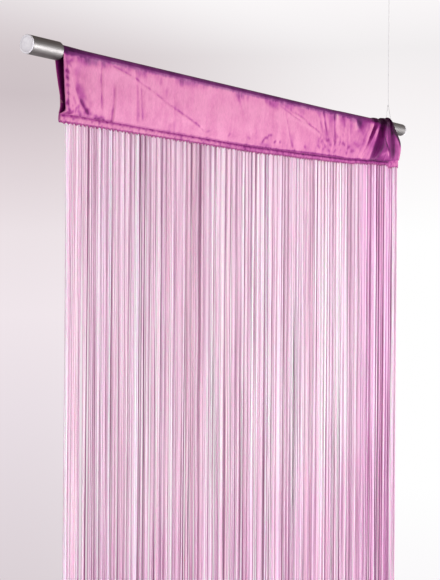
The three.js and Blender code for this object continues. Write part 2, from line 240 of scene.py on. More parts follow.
def lathe(name, profile, sides, material, upright_at=None):
    """A closed turned piece. The profile's rows are (radius, place along the axis). The axis is the rod's,
    or a vertical one at the given x."""
    points, rings = [], []
    for radius, height in profile:
        count = 1 if radius == 0 else sides
        rings.append((len(points), count))
        for angle in around(sides)[:count]:
            u, v = radius * math.cos(angle), radius * math.sin(angle)
            points.append((height, u, v) if upright_at is None else (upright_at + u, v, height))
    faces = []
    for (a, na), (b, nb) in zip(rings, rings[1:]):
        for i in range(sides):
            j = (i + 1) % sides
            if na == 1:
                faces.append((a, b + j, b + i))
            elif nb == 1:
                faces.append((a + i, a + j, b))
            else:
                faces.append((a + i, a + j, b + j, b + i))
    runs_left = profile[0][1] > profile[-1][1]
    if runs_left:
        faces = [f[::-1] for f in faces]
    item = add_mesh(name, points, faces, [material])
    item.data.set_sharp_from_angle(angle=SHARP)
    return item


def ring_faces(count, sides, clockwise=True):
    """Faces of a closed tube of rings. Their corners go round clockwise, or not, seen along the tube."""
    steps = [(i, (i + 1) % sides) for i in range(sides)]
    start, end = list(range(sides)), list(range((count - 1) * sides, count * sides))
    if clockwise:
        start.reverse()
    else:
        end.reverse()
        steps = [(j, i) for i, j in steps]
    faces = [(a + i, a + j, a + sides + j, a + sides + i)
             for a in range(0, (count - 1) * sides, sides) for i, j in steps]
    return [*faces, start, end]


def tube(route, radius, sides):
    """Points and faces of a closed thin tube along a route, for threads."""
    along = np.gradient(route, axis=0)
    along /= np.linalg.norm(along, axis=1, keepdims=True)
    side = np.cross(along, (0, 0, 1.0))
    upright = np.linalg.norm(side, axis=1) < 0.2
    side[upright] = np.cross(along[upright], (0, 1.0, 0))
    side /= np.linalg.norm(side, axis=1, keepdims=True)
    lift = np.cross(along, side)
    turn = around(sides)
    wide = np.cos(turn)[None, :, None] * side[:, None, :] * radius
    high = np.sin(turn)[None, :, None] * lift[:, None, :] * radius
    ring = route[:, None, :] + wide + high
    return ring.reshape(-1, 3), ring_faces(len(route), sides)


def joined(parts):
    """Several (points, faces) put together as one."""
    points, faces, shift = [], [], 0
    for some_points, some_faces in parts:
        points.append(some_points)
        faces += [[v + shift for v in f] for f in some_faces]
        shift += len(some_points)
    return np.concatenate(points), faces


# ---- materials


def rgb(red, green, blue):
    """A linear colour from 0 to 255 display values."""
    parts = [v / 255 for v in (red, green, blue)]
    return (*(v / 12.92 if v <= 0.04045 else ((v + 0.055) / 1.055) ** 2.4 for v in parts), 1.0)


class Nodes:
    """The node tree of a material or world, with short ways to add and join nodes."""

    def __init__(self, owner):
        owner.use_nodes = True
        self.tree = owner.node_tree
        self.shader = self.tree.nodes.get("Principled BSDF")

    def add(self, kind, inputs=(), **settings):
        node = self.tree.nodes.new("ShaderNode" + kind)
        for key, value in settings.items():
            setattr(node, key, value)
        for key, value in dict(inputs).items():
            self.put(node, key, value)
        return node

    def put(self, node, key, value):
        if isinstance(value, bpy.types.NodeSocket):
            self.tree.links.new(value, node.inputs[key])
        else:
            node.inputs[key].default_value = value

    def place(self):
        """Where a point is on the object, in metres."""
        return self.add("TexCoord").outputs["Object"]

    def attribute(self, name, output="Fac"):
        return self.add("Attribute", attribute_name=name).outputs[output]

    def stretched(self, vector, scale):
        return self.add("Mapping", {"Vector": vector, "Scale": scale}).outputs[0]

    def noise(self, vector, scale, detail, rough):
        inputs = {"Vector": vector, "Scale": scale, "Detail": detail, "Roughness": rough}
        return self.add("TexNoise", inputs).outputs[0]

    def wave(self, vector, scale, distortion, **inputs):
        inputs.update(Vector=vector, Scale=scale, Distortion=distortion)
        return self.add("TexWave", inputs, bands_direction="DIAGONAL").outputs["Fac"]

    def math(self, operation, first, second, clamp=False):
        return self.add("Math", {0: first, 1: second}, operation=operation, use_clamp=clamp).outputs[0]

    def range(self, value, low, high, to_low=0.0, to_high=1.0, kind="LINEAR"):
        inputs = {0: value, 1: low, 2: high, 3: to_low, 4: to_high}
        return self.add("MapRange", inputs, interpolation_type=kind).outputs[0]

    def spread(self, noise, to_low=0.0, to_high=1.0):
        """A noise, most of which lies between 0.3 and 0.7, spread from to_low to to_high."""
        return self.range(noise, 0.3, 0.7, to_low, to_high)

    def blend(self, share, first, second, mode="MIX"):
        node = self.add("Mix", data_type="RGBA", blend_type=mode)
        for key, value in (("Factor", share), (6, first), (7, second)):
            self.put(node, key, value)
        return node.outputs[2]

    def times(self, colour, other):
        return self.blend(1.0, colour, other, "MULTIPLY")

    def grey(self, value):
        return self.add("CombineColor", {0: value, 1: value, 2: value}).outputs[0]

    def ramp(self, value, stops):
        """Colours (place, red, green, blue) along a value from 0 to 1."""
        node = self.add("ValToRGB", {0: value})
        dots = node.color_ramp.elements
        dots.remove(dots[-1])
        for k, (place, *colour) in enumerate(stops):
            dot = dots.new(place) if k else dots[0]
            dot.position = place
            dot.color = rgb(*colour)
        return node.outputs[0]

    def bump(self, height, strength, distance, **normal):
        """A bumped normal, on top of another where one is given."""
        inputs = {"Height": height, "Strength": strength, "Distance": distance, **normal}
        return self.add("Bump", inputs).outputs[0]

    def dress(self, colour, rough=None, normal=None):
        """Joins a colour, a roughness and a bumped normal to the material's shader."""
        for key, value in (("Base Color", colour), ("Roughness", rough), ("Normal", normal)):
            if value is not None:
                self.put(self.shader, key, value)


def new_material(name, **sockets):
    """A material and its nodes, with some of the shader's own sockets set."""
    material = bpy.data.materials.new(name)
    nodes = Nodes(material)
    for key, value in sockets.items():
        nodes.shader.inputs[key.replace("_", " ")].default_value = value
    return material, nodes


PAINTED_SHEEN_TINT = (0.82, 1.6, 0.96, 1)  # painted sheen: how the satin's colour shifts greyer where it turns up towards the ceiling


def satin(name, tones, rough):
    """Woven satin: its colour painted deeper where the cloth turns away from the light (painted shade) and
    greyer on the crest (painted sheen), with fine vertical floats and a soft crumple.
    """
    material, nodes = new_material(
        name, Sheen_Weight=0.04, Sheen_Roughness=0.4, Sheen_Tint=rgb(255, 150, 215),
        Specular_IOR_Level=0.12, Specular_Tint=rgb(255, 190, 230))
    place = nodes.place()
    cloud = nodes.noise(place, 38, 4, 0.6)
    patches = nodes.range(cloud, 0.35, 0.7, -0.06, 0.12)
    # The 'deep' attribute takes the pink through purple to near-black: painted shade.
    colour = nodes.ramp(nodes.math("ADD", nodes.attribute("deep"), patches, clamp=True), tones)
    # painted sheen on the crest and the crown's dark band
    dusk = nodes.blend(nodes.attribute("dusk"), (1, 1, 1, 1), PAINTED_SHEEN_TINT)
    grain = nodes.noise(nodes.stretched(place, (900, 900, 160)), 1, 2, 0.6)
    thread = nodes.grey(nodes.spread(grain, 0.90, 1.06))
    crumple = nodes.bump(nodes.noise(place, 95, 3, 0.55), 0.25, 0.0012)
    weave = nodes.noise(nodes.stretched(place, (2600, 2600, 420)), 1, 1, 0.5)
    nodes.dress(nodes.times(nodes.times(colour, dusk), thread),
                nodes.spread(cloud, rough - 0.06, rough + 0.08),
                nodes.bump(weave, 0.12, 0.0002, Normal=crumple))
    return material


def thread_material(name, light, dark):
    material, nodes = new_material(name, Sheen_Weight=0.1, Roughness=0.6)
    twist = nodes.wave(nodes.stretched(nodes.place(), (1, 1, 1.6)), 520.0, 1.5)
    colour = nodes.blend(nodes.range(twist, 0.2, 0.8), dark, light)
    nodes.dress(colour, normal=nodes.bump(twist, 0.5, 0.0003))
    return material


def string_material():
    """Rayon string: the colour each string carries from end to end, with painted shade in it, lighter and
    darker along the yarn's twist (painted light and shade), a twisted yarn's bump and a silky sheen.
    """
    material, nodes = new_material(
        "string_yarn", Subsurface_Weight=1.0, Subsurface_Radius=(1.0, 0.7, 0.9), Subsurface_Scale=0.0012,
        Sheen_Weight=0.15, Sheen_Roughness=0.35, Sheen_Tint=rgb(255, 205, 238), Specular_IOR_Level=0.4)
    uv = nodes.add("UVMap").outputs[0]
    twist = nodes.wave(uv, 1.0, 0.6, Detail=1.0)
    fleck = nodes.noise(nodes.stretched(uv, (3, 0.5, 1)), 3, 3, 0.6)
    # lighter and darker along the yarn's twist: painted light and shade
    lights = nodes.range(twist, 0, 1, 0.93, 1.03)
    soft = nodes.math("MULTIPLY", lights, nodes.spread(fleck, 0.92, 1.06))
    nodes.dress(nodes.times(nodes.attribute("tint", "Color"), nodes.grey(soft)),
                nodes.spread(fleck, 0.42, 0.58), nodes.bump(twist, 0.35, 0.00015))
    return material


def metal(name, tone, rough):
    """Satin-finished metal brushed along the tube, with faint handling marks."""
    material, nodes = new_material(name, Metallic=1.0)
    place = nodes.place()
    brush = nodes.noise(nodes.stretched(place, (14, 1500, 1500)), 1, 3, 0.65)
    smear = nodes.range(nodes.noise(place, 60, 4, 0.6), 0.35, 0.7, rough, rough + 0.07)
    low = tuple(v * 0.86 for v in tone[:3]) + (1,)
    nodes.dress(nodes.blend(nodes.spread(brush), low, tone),
                nodes.math("ADD", nodes.spread(brush, -0.04, 0.05), smear),
                nodes.bump(brush, 0.10, 0.0001))
    return material


def plastic(name, tone, mottled, rough):
    material, nodes = new_material(name)
    place = nodes.place()
    cloud = nodes.noise(place, 140, 4, 0.6)
    nodes.dress(nodes.blend(nodes.range(cloud, 0.35, 0.7), tone, mottled),
                nodes.spread(cloud, rough, rough + 0.12),
                nodes.bump(nodes.noise(place, 900, 2, 0.5), 0.15, 0.0001))
    return material


def clear_material():
    material, nodes = new_material("clear_nylon", Transmission_Weight=0.25, IOR=1.4)
    cloud = nodes.noise(nodes.place(), 300, 2, 0.5)
    colour = nodes.blend(cloud, rgb(232, 232, 234), rgb(252, 252, 253))
    nodes.dress(colour, nodes.spread(cloud, 0.16, 0.3))
    return material


# Both ramps go from the cloth's own colour (0) to the painted shade of its deepest folds, its crest and the
# inside of its pocket (1).
SATIN = satin("pink_satin", [
    (0.0, 216, 140, 178), (0.14, 206, 124, 168), (0.32, 176, 84, 150), (0.52, 134, 40, 116),
    (0.74, 106, 24, 94), (0.88, 80, 14, 72), (1.0, 42, 4, 38),
], 0.42)
REVERSE = satin("satin_reverse", [
    (0.0, 200, 74, 160), (0.4, 150, 42, 130), (0.8, 126, 24, 112), (1.0, 100, 14, 90),
], 0.7)
HEM_THREAD = thread_material("hem_thread", rgb(190, 84, 152), rgb(146, 50, 118))
YARN = string_material()
ALUMINIUM = metal("satin_aluminium", rgb(146, 143, 143), 0.46)
TUBE_METAL = metal("rod_aluminium", rgb(186, 184, 182), 0.36)
PALE_CAP = plastic("pale_cap_plastic", rgb(240, 238, 244), rgb(226, 224, 232), 0.42)
NYLON = clear_material()

# ---- header: the flat part

# Where the cloth changes on its way to the right
GATHER_FROM = 300.0  # the gather's table shapes the front from here on
TONE_FROM = 312  # the gather's painted shade takes over
BUNCH_FROM = 330  # the cloth is pushed together
END_FROM = 462  # the hem band's last stretch, of one nearly even tone: lighter, with little painted shade

# Soft folds of the front layer: place at the rod, place at the stitch line, width, reach forward
SOFT_FOLDS = [
    (-452, -425, 15, -2.6), (-404, -399, 13, -1.4), (-372, -381, 13, -1.6), (-318, -315, 14, -1.2),
    (-247, -250, 14, -1.2), (-148, -164, 16, -1.5), (-80, -42, 14, -0.8), (10, -28, 14, 1.2),
    (66, 88, 14, -1.0), (201, 209, 14, -1.5), (244, 242, 13, -1.5), (300, 276, 14, 1.4),
]

# Creases pressed into the satin: their points (s, z), then width, depth, a ridge's side and height, and the
# painted shade in the groove, with a little painted light on the ridge (the other way round where negative)
CREASES = [
    ([(-388, -3), (-334, -14), (-293, -28), (-255, -42)], 1.9, 0.4, -1, 0.3, 0.42),
    ([(-262, -40), (-223, -52), (-172, -68), (-156, -77)], 1.9, 0.5, -1, 0.3, 0.55),
    ([(42, -3), (81, -16), (124, -25), (167, -44)], 2.4, -0.4, 1, -0.3, -0.35),
    ([(45, -5), (101, -23), (163, -34), (193, -44)], 2.2, 0.6, -1, 0.3, 0.5),
    ([(100, -14), (130, -22), (154, -30)], 2.4, 0.4, -1, 0.3, 0.2),
    ([(-402, -4), (-400, -35), (-398, -56), (-393, -74)], 1.8, 0.6, 1, 0.4, 0.55),
    ([(-373, -31), (-373, -60), (-372, -92)], 2.0, 0.8, 1, 0.5, 0.4),
    ([(-374, -62), (-372, -80), (-373, -96)], 2.4, 0.7, 1, 0.4, 0.35),
    ([(-317, -20), (-313, -52), (-306, -78)], 1.8, 0.5, -1, 0.3, 0.4),
    ([(-78, -6), (-64, -26), (-45, -52), (-36, -72)], 2.4, 0.3, 1, 0.25, 0.14),
    ([(67, -10), (77, -39), (91, -69), (108, -82)], 2.6, 0.5, -1, 0.3, 0.36),
    ([(198, -2), (205, -20), (215, -42)], 2.4, 0.6, -1, 0.3, 0.45),
    ([(238, -1), (242, -30), (247, -60)], 2.8, 0.8, 1, 0.5, 0.5),
    ([(288, -20), (291, -44), (296, -68)], 2.4, 0.5, 1, 0.4, 0.3),
    ([(-440, -59), (-433, -66), (-426, -72), (-418, -79)], 2.8, 1.0, 1, 0.5, 1.05),
]

CREASE_REACH = 12  # a crease changes nothing farther off than this

# Purple shade where the cloth leaves the rod: centre s, half width, how low it reaches, depth
CROWN_PATCHES = [
    (-424, 16, 15, 0.40), (-446, 14, 9, 0.18), (-398, 11, 13, 0.24), (-366, 20, 12, 0.20),
    (-338, 16, 10, 0.16), (-317, 13, 14, 0.24), (-278, 9, 10, 0.14), (-226, 20, 15, 0.26),
    (-196, 22, 13, 0.22), (-164, 14, 12, 0.14), (-127, 20, 8, 0.18), (-74, 9, 16, 0.20),
    (-48, 24, 10, 0.10), (14, 15, 12, 0.24), (52, 20, 13, 0.20), (80, 22, 10, 0.20), (122, 14, 18, 0.20),
    (158, 16, 7, 0.18), (180, 9, 12, 0.22), (199, 12, 12, 0.24), (221, 11, 22, 0.18), (239, 9, 19, 0.34),
    (254, 9, 15, 0.16), (272, 10, 18, 0.22), (300, 14, 9, 0.18), (316, 14, 26, 0.34), (338, 14, 16, 0.26),
    (-62, 26, 20, 0.12), (-88, 9, 20, 0.06),
]

# Soft bands down the front, each a shallow valley with painted shade (+) or a low ridge with painted light
# (-): (s, z) of the upper and the lower end, half width, how much deeper or paler (-)
BANDS = [
    (-335, -7, -328, -78, 4.5, -0.182), (-294, -13, -289, -64, 4, -0.156), (-246, -6, -244, -66, 5, -0.195),
    (-154, -9, -167, -70, 7, -0.156), (-108, -10, -110, -70, 13, -0.208), (-5, -12, -15, -51, 6, -0.143),
    (52, -19, 48, -68, 9, -0.156), (248, -3, 258, -48, 5, -0.22), (307, -4, 313, -19, 4, -0.2),
    (-396, -20, -388, -70, 5, -0.104), (110, -50, 118, -74, 12, -0.05), (-327, -15, -317, -74, 4, 0.14),
    (-257, -5, -258, -30, 3, 0.06), (-222, -7, -216, -71, 8, 0.04), (-157, -22, -158, -64, 5, 0.104),
    (7, -9, -23, -55, 8, 0.05), (35, -5, 25, -45, 7, 0.04), (18, -9, 98, -18, 6, 0.14),
    (-50, -24, -38, -50, 9, -0.10), (-8, -12, -14, -40, 8, -0.08), (100, -40, 108, -66, 7, -0.08),
    (-2, -80, 30, -81, 4, 0.16), (190, -24, 222, -54, 5, 0.12), (-75, -8, -52, -50, 6, 0.065),
    (198, -2, 215, -39, 5, 0.14), (223, -2, 225, -32, 8, 0.12), (238, -1, 247, -59, 3.5, 0.12),
    (272, -2, 277, -19, 5, 0.14), (300, -20, 305, -60, 7, 0.06), (324, -6, 342, -40, 6, 0.16),
    (-441, -46, -434, -58, 9, 0.27), (-416, -30, -414, -50, 8, -0.06), (-444, -10, -443, -20, 10, 0.10),
    (-462, -38, -446, -64, 3.5, -0.208), (-473, 6, -468, -10, 5, 0.22), (-372, -31, -373, -78, 5, 0.05),
    (-304, -36, -298, -72, 4, -0.08), (-124, -18, -123, -40, 6, -0.08), (-242, -28, -233, -80, 4, 0.13),
    (183, -11, 202, -50, 4, 0.14), (312, -2, 340, -36, 6, 0.24), (314, -48, 336, -60, 5, 0.18),
    (-55, -30, -48, -56, 7, -0.10), (86, -22, 92, -46, 6, -0.10), (206, -22, 211, -42, 5, 0.10),
    (-298, -18, -298, -38, 6, 0.06), (-262, -26, -264, -44, 6, 0.10), (-218, -40, -214, -62, 6, -0.08),
    (-176, -72, -168, -77, 5, 0.10), (-450, -24, -448, -46, 6, 0.10), (24, -10, 24, -26, 6, 0.08),
    (-427, -18, -427, -36, 5, 0.07), (-412, -16, -411, -66, 4, -0.045), (-376, -20, -376, -70, 4, 0.035),
    (-318, -16, -314, -40, 7, 0.04), (-290, -20, -289, -64, 4, 0.05), (-272, -50, -270, -74, 6, -0.04),
    (-254, -18, -254, -64, 4, -0.03), (-246, -50, -245, -70, 4, 0.045), (-142, -48, -143, -74, 5, -0.04),
    (-123, -18, -123, -40, 5, -0.035), (-94, -20, -94, -68, 5, 0.035), (-75, -20, -75, -66, 4, -0.035),
    (-42, -24, -40, -72, 6, -0.045), (-20, -20, -20, -46, 8, -0.045), (58, -20, 60, -66, 10, 0.04),
    (88, -50, 88, -72, 4, -0.05), (146, -18, 150, -42, 7, -0.045), (168, -20, 168, -68, 5, -0.055),
    (190, -16, 190, -38, 5, 0.05), (200, -20, 203, -66, 4, -0.04), (222, -16, 222, -36, 5, 0.05),
    (234, -46, 236, -66, 5, -0.065), (246, -16, 247, -38, 4, 0.055),
]

# Small marks where the cloth is puckered, each a little dent with painted shade in it: s, z, size, depth
MARKS = [
    (4, -74, 2.6, 0.45), (11, -68, 2.6, 0.45), (18, -65, 2.2, 0.35), (25, -62, 2.4, 0.35),
    (40, -72, 2.4, 0.5), (55, -71, 2.4, 0.45), (-38, -73, 2.4, 0.2), (138, -72, 2.6, 0.3),
    (183, -56, 3.0, 0.25), (189, -49, 2.6, 0.22), (186, -67, 3.0, 0.3), (200, -60, 2.4, 0.2),
    (225, -71, 2.8, 0.2), (228, -60, 2.8, 0.2), (245, -56, 2.4, 0.26), (248, -70, 2.4, 0.26),
    (262, -54, 2.4, 0.3), (268, -67, 2.2, 0.2), (277, -54, 3.0, 0.35), (298, -58, 3.2, 0.3),
    (293, -70, 2.8, 0.28), (312, -64, 3.2, 0.3), (328, -52, 3.2, 0.35), (340, -57, 3.2, 0.35),
    (-468, -27, 2.4, 0.5), (-468, -35, 3.0, 0.6), (-468, -45, 2.2, 0.3), (-468, -56, 2.4, 0.4),
    (-469, -66, 2.8, 0.5), (-465, -78, 2.8, 0.55), (-456, -79, 2.8, 0.5), (-447, -75, 2.2, 0.4),
    (-442, -70, 2.4, 0.4), (-438, -78, 3.0, 0.45), (-457, -71, 2.0, 0.3), (-418, -77, 2.6, 0.3),
    (-408, -78, 2.4, 0.25), (-461, -11, 2.6, 0.3), (-464, -16, 2.4, 0.28), (-467, -24, 2.0, 0.3),
    (-273, -13, 3.5, 0.2), (272, -38, 2.6, 0.22), (262, -44, 2.4, 0.2), (238, -48, 2.4, 0.25),
    (212, -52, 2.6, 0.22), (-150, -73, 2.2, 0.2), (-95, -74, 2.2, 0.2), (-471, -70, 3.0, 0.45),
    (-452, -63, 3.0, 0.3), (-426, -75, 3.0, 0.3), (-405, -81, 2.6, 0.4), (-397, -80, 2.6, 0.45),
    (-389, -81, 2.6, 0.4), (195, -56, 3.4, 0.28), (209, -64, 3.4, 0.28), (217, -52, 3.4, 0.24),
    (204, -70, 3.4, 0.26), (254, -42, 4.0, 0.28), (260, -49, 4.0, 0.28), (272, -52, 4.0, 0.2),
]


def stroke(s, z, s0, z0, s1, z1, wide):
    """A soft stroke on the cloth: 1 along the line from (s0, z0) to (s1, z1), fading out over `wide`."""
    span_s, span_z = s1 - s0, z1 - z0
    t = np.clip(((s - s0) * span_s + (z - z0) * span_z) / max(span_s ** 2 + span_z ** 2, 1e-6), 0, 1)
    return np.exp(-((s - s0 - t * span_s) ** 2 + (z - z0 - t * span_z) ** 2) / wide ** 2)


def mouth_share(s):
    """1 at the pocket's left-hand mouth, fading out along the rod."""
    return ease(s - CLOTH["left"], 0, 34, 1, 0)


def bunched(s):
    """0 where the cloth lies along the rod, and 1 where it is pushed together at the right."""
    return ease(s, BUNCH_FROM, 60)


def flat_front(s, u):
    """The front layer where it isn't gathered: y and z of its middle at column s and fraction u down."""
    z = -u * stitch_drop(s)
    closed = look_up(HEM, SWING, s) - CLOTH["half_gap"]
    hang = lerp(-WRAP_RADIUS, closed, u ** HANG_POWER)
    belly = look_up(BELLY, FRONT_BELLY, s) * np.sin(np.pi * u ** look_up(BELLY, BELLY_LOW, s))
    grown = ease(u, 0, 0.35, 0.35) * np.sqrt(np.clip(1 - u, 0, 1))
    started = ease(u, 0.12, 0.2)
    folds = 0
    for at, foot, wide, proud in SOFT_FOLDS:
        held = started if proud < 0 else 1
        folds = folds + proud * held * hump(s, lerp(at, foot, u), wide) * grown
    mouth = 10.8 * u ** 1.25 * (1 - ease(u, 0.955, 0.045)) * mouth_share(s)
    return hang - belly - folds - mouth, z


# ---- header: the gather

# The heights that the next tables have a value for, from above the rod down to the hem's lower edge
GATHER_Z = np.array([16, 4, -4, -15, -30, -45, -60, -72, -84.0])

# The gather's valleys and crests: each one's place s along the hem, how high it stands over the rod, where
# it stands along the rod at those heights, and its y there
GATHER = [
    (340, 1.6, [387, 388, 386, 380, 366, 357, 348, 343, 340],
     [-8.6, -8.6, -9.5, -10.5, -10.5, -9.5, -7.5, -5, -1.8]),
    (348, 2.2, [396, 396, 395, 388, 378, 370, 360, 351, 348],
     [-8.4, -8.4, -8.4, -8, -7.8, -7.2, -6, -4, -1.6]),
    (356, 4.0, [409, 408, 404, 395, 385, 376, 366, 358, 356],
     [-10, -11.5, -13, -14, -12.5, -9.5, -7, -4.6, -2]),
    (382, 3.0, [425, 425, 420, 414, 406, 397, 390, 385, 382],
     [-8.4, -8.6, -9, -9, -8.8, -8, -6.5, -4.6, -2]),
    (404, 7.0, [446, 440, 432, 425, 420, 420, 414, 405, 404],
     [-11, -14, -17.5, -19, -19.5, -18.5, -15, -10, -4.5]),
    (436, 6.5, [455, 450, 443, 441, 439, 440, 439, 438, 436],
     [-9.5, -12, -15, -16, -16, -15, -12, -8, -1.5]),
    (466, 8.0, [465, 462, 459, 459, 460, 463, 468, 470, 466],
     [-9, -10.5, -12, -12.5, -12, -11, -9, -6, -3.5]),
    (484, 10.0, [466, 466, 466, 469, 471, 475, 479, 481, 484],
     [-11, -13.5, -15, -16, -16.5, -16, -13, -8, -1]),
    (512, 8.0, [474, 475, 479, 489, 504, 510, 512, 512, 512],
     [-9.5, -12, -13.5, -14, -13, -11, -7.5, -5, -3.4]),
]
GATHER_KNOTS = np.array([GATHER_FROM, *(s for s, *_ in GATHER)])
# How high the cloth stands over its usual way round the rod: place s, height
OVER_ROD = np.array([(CLOTH["left"], 1.0), (-420, 0.0), (230, 0.0), (GATHER_FROM, 1.0)]
                    + [(s, height) for s, height, *_ in GATHER])
# Painted shade to the right of each knot, at the same heights: darkest on the flanks that turn to the left,
# away from the light
FLANKS = [
    [0.90, 0.84, 0.38, 0.24, 0.32, 0.28, 0.20, 0.17, 0.20],
    [0.95, 0.88, 0.10, 0.02, 0.16, 0.18, 0.14, 0.14, 0.20],
    [0.95, 0.92, 0.58, 0.58, 0.56, 0.34, 0.14, 0.12, 0.20],
    [1.00, 0.96, 0.56, 0.22, 0.32, 0.34, 0.18, 0.16, 0.24],
    [1.00, 1.00, 0.84, 0.74, 0.76, 0.78, 0.76, 0.66, 0.52],
    [1.00, 1.00, 0.92, 0.70, 0.56, 0.64, 0.50, 0.50, 0.54],
    [1.00, 1.00, 0.92, 0.70, 0.56, 0.52, 0.46, 0.48, 0.52],
    [1.00, 0.98, 0.90, 0.82, 0.80, 0.80, 0.78, 0.44, 0.30],
    [1.00, 0.98, 0.90, 0.70, 0.54, 0.46, 0.46, 0.42, 0.28],
]
# Strokes of painted shade over the gather, painted light where negative: (s, z) of both ends, half width,
# how much deeper or paler (-)
GATHER_STROKES = [
    (408, -30, 455, -50, 3.0, 0.40), (430, -30, 446, -44, 4.0, -0.26), (448, -56, 454, -60, 3.0, -0.36),
    (432, -58, 446, -54, 4.0, -0.16), (404, -68, 432, -72, 2.5, 0.14), (416, -62, 430, -60, 3.0, -0.12),
    (510, -42, 511, -72, 5.0, -0.24), (490, -8, 514, -26, 7.0, 0.66), (512, -26, 512, -34, 4.0, 0.40),
    (470, -4, 474, -14, 4.0, 0.30), (424, -8, 432, -24, 4.0, -0.16), (494, -24, 500, -34, 5.0, -0.16),
    (436, -12, 452, -28, 3.0, 0.14), (486, -62, 500, -76, 5.0, -0.08), (392, -10, 398, -26, 3.0, 0.10),
    (366, -10, 370, -26, 4.0, -0.10), (444, -72, 470, -72, 3.0, 0.16),
]


def down_the_gather(values, z):
    """A curve through one value at each of GATHER_Z, with no kinks: cubic, with slopes from neighbours."""
    h, v = GATHER_Z[::-1], np.array(values, float)[::-1]
    slope = np.gradient(v, h)
    z = np.clip(z, h[0], h[-1])
    i = np.clip(np.searchsorted(h, z, side="right") - 1, 0, len(h) - 2)
    gap = h[i + 1] - h[i]
    t = (z - h[i]) / gap
    a, b = v[i], v[i + 1]
    return (a * (1 + 2 * t) * (1 - t) ** 2 + b * t * t * (3 - 2 * t)
            + gap * (slope[i] * t * (1 - t) ** 2 - slope[i + 1] * t * t * (1 - t)))


def between_knots(s):
    """For a grid's columns: the knot before each one, how far it is to the next, and its own number."""
    column = s[:, 0]
    i = np.clip(np.searchsorted(GATHER_KNOTS, column, side="right") - 1, 0, len(GATHER_KNOTS) - 2)
    t = np.clip((column - GATHER_KNOTS[i]) / (GATHER_KNOTS[i + 1] - GATHER_KNOTS[i]), 0, 1)
    return i, t[:, None], np.arange(len(s))


def gather_front(s, z):
    """x and y of the front layer in the gather, over a grid of columns (first axis) and rows (second)."""
    i, t, k = between_knots(s)
    start = np.full_like(z, GATHER_FROM)
    start_y = flat_front(start, np.clip(-z / stitch_drop(s), 0, 1))[0]
    xs = np.stack([start] + [down_the_gather(x, z) for _, _, x, _ in GATHER])
    ys = np.stack([start_y] + [down_the_gather(y, z) for _, _, _, y in GATHER])
    return lerp(xs[i, k], xs[i + 1, k], t), lerp(ys[i, k], ys[i + 1, k], smooth(t))


def gather_shade(s, z):
    """The shade painted into the colour in the gather, over a grid of columns and rows, with a little
    random change of tone.
    """
    i, t, k = between_knots(s)
    tones = np.stack([down_the_gather(row, z) for row in FLANKS])
    before, here, after = (tones[np.clip(i + step, 0, len(FLANKS) - 1), k] for step in (-1, 0, 1))
    blend = 0.14
    mixed = ease(t, 0, blend, lerp(before, here, 0.5), here)
    mixed = ease(t, 1 - blend, blend, mixed, lerp(here, after, 0.5))
    for *ends, wide, deeper in GATHER_STROKES:
        mixed = mixed + deeper * stroke(s, z, *ends, wide)
    return mixed + 0.06 * soft_noise(s, 0.3 * z, 12, (5, 11))


# ---- header: the whole cloth

# Rows of points up the front, over the rod and down the back
FRONT_ROWS, WRAP_ROWS, BACK_ROWS = 56, 13, 18
LINING_STEP = 3  # the lining has a row of points for every third row of the outside
COLUMN_STEP = 2.2
CLOSE_FROM = 318  # from here to the right-hand edge the columns stand closer together
CLOSE_COLUMNS = 196
# The hem band's outline: share of its height below the stitch line, and half its thickness there
HEM_OUTLINE = [(0.0, 1.15), (0.07, 0.95), (0.2, 1.45), (0.45, 1.75), (0.72, 1.65), (0.9, 1.25), (1.0, 0.5)]


def column_list():
    wide_apart = np.arange(CLOTH["left"], CLOSE_FROM, COLUMN_STEP)
    return np.concatenate([wide_apart, np.linspace(CLOSE_FROM, CLOTH["right"], CLOSE_COLUMNS)])


def spread_rows(count):
    """Fractions from the stitch line (1) up to the rod (0), closer together at both ends."""
    t = np.linspace(0, 1, count)
    return 1 - lerp(t, smooth(t), 0.55)


def middle_grid(columns):
    """The cloth's middle from the stitch line up the front, over the rod and down the back."""
    gathered = columns > GATHER_FROM
    s, u = np.meshgrid(columns, spread_rows(FRONT_ROWS), indexing="ij")
    x = s.copy()
    y, z = flat_front(s, u)
    x[gathered], y[gathered] = gather_front(s[gathered], z[gathered])

    over = look_up(OVER_ROD, 1, columns)[:, None]
    behind = WRAP_RADIUS + over * 0.25
    sb, ub = np.meshgrid(columns, np.linspace(0, 1, BACK_ROWS), indexing="ij")
    back_x = sb.copy()
    back_z = -ub * stitch_drop(sb)
    back_x[gathered] = gather_front(sb[gathered], back_z[gathered] + 14.5)[0]
    back_y = lerp(behind, look_up(HEM, SWING, sb) + CLOTH["half_gap"], ub)
    back_y += look_up(BELLY, BACK_BELLY, sb) * np.sin(np.pi * ub)
    back_y -= 4.2 * np.sin(np.pi * ub ** 3) * mouth_share(sb)
    back_y += np.abs(bunched(sb) * np.sin(sb * 0.21 + 1.1) * np.sin(np.pi * ub) * 1.6)

    angle = np.pi * (1 - np.arange(1, WRAP_ROWS + 1) / (WRAP_ROWS + 1))[None, :]
    phase = np.random.default_rng(SEED).uniform(0, TURN, 2)
    ripple = 0.7 * np.sin(columns * 0.42 + phase[0]) + 0.5 * np.sin(columns * 0.83 + phase[1])
    crumple = (bunched(columns) * ripple)[:, None]
    wrap_z = (WRAP_RADIUS + over + crumple) * np.sin(angle)
    wrap_y = np.where(np.cos(angle) < 0, -y[:, -1:], behind) * np.cos(angle)
    wrap_x = np.repeat(x[:, -1:], WRAP_ROWS, axis=1)
    wrap_x[gathered] = gather_front(s[gathered][:, :WRAP_ROWS], wrap_z[gathered])[0]
    wrap_x = lerp(wrap_x, back_x[:, :1], smooth(1 - (angle / np.pi) * 1.2))

    parts = ((x, y, z), (wrap_x, wrap_y, wrap_z), (back_x, back_y, back_z))
    return np.concatenate([np.stack(part, -1) for part in parts], axis=1), s, z


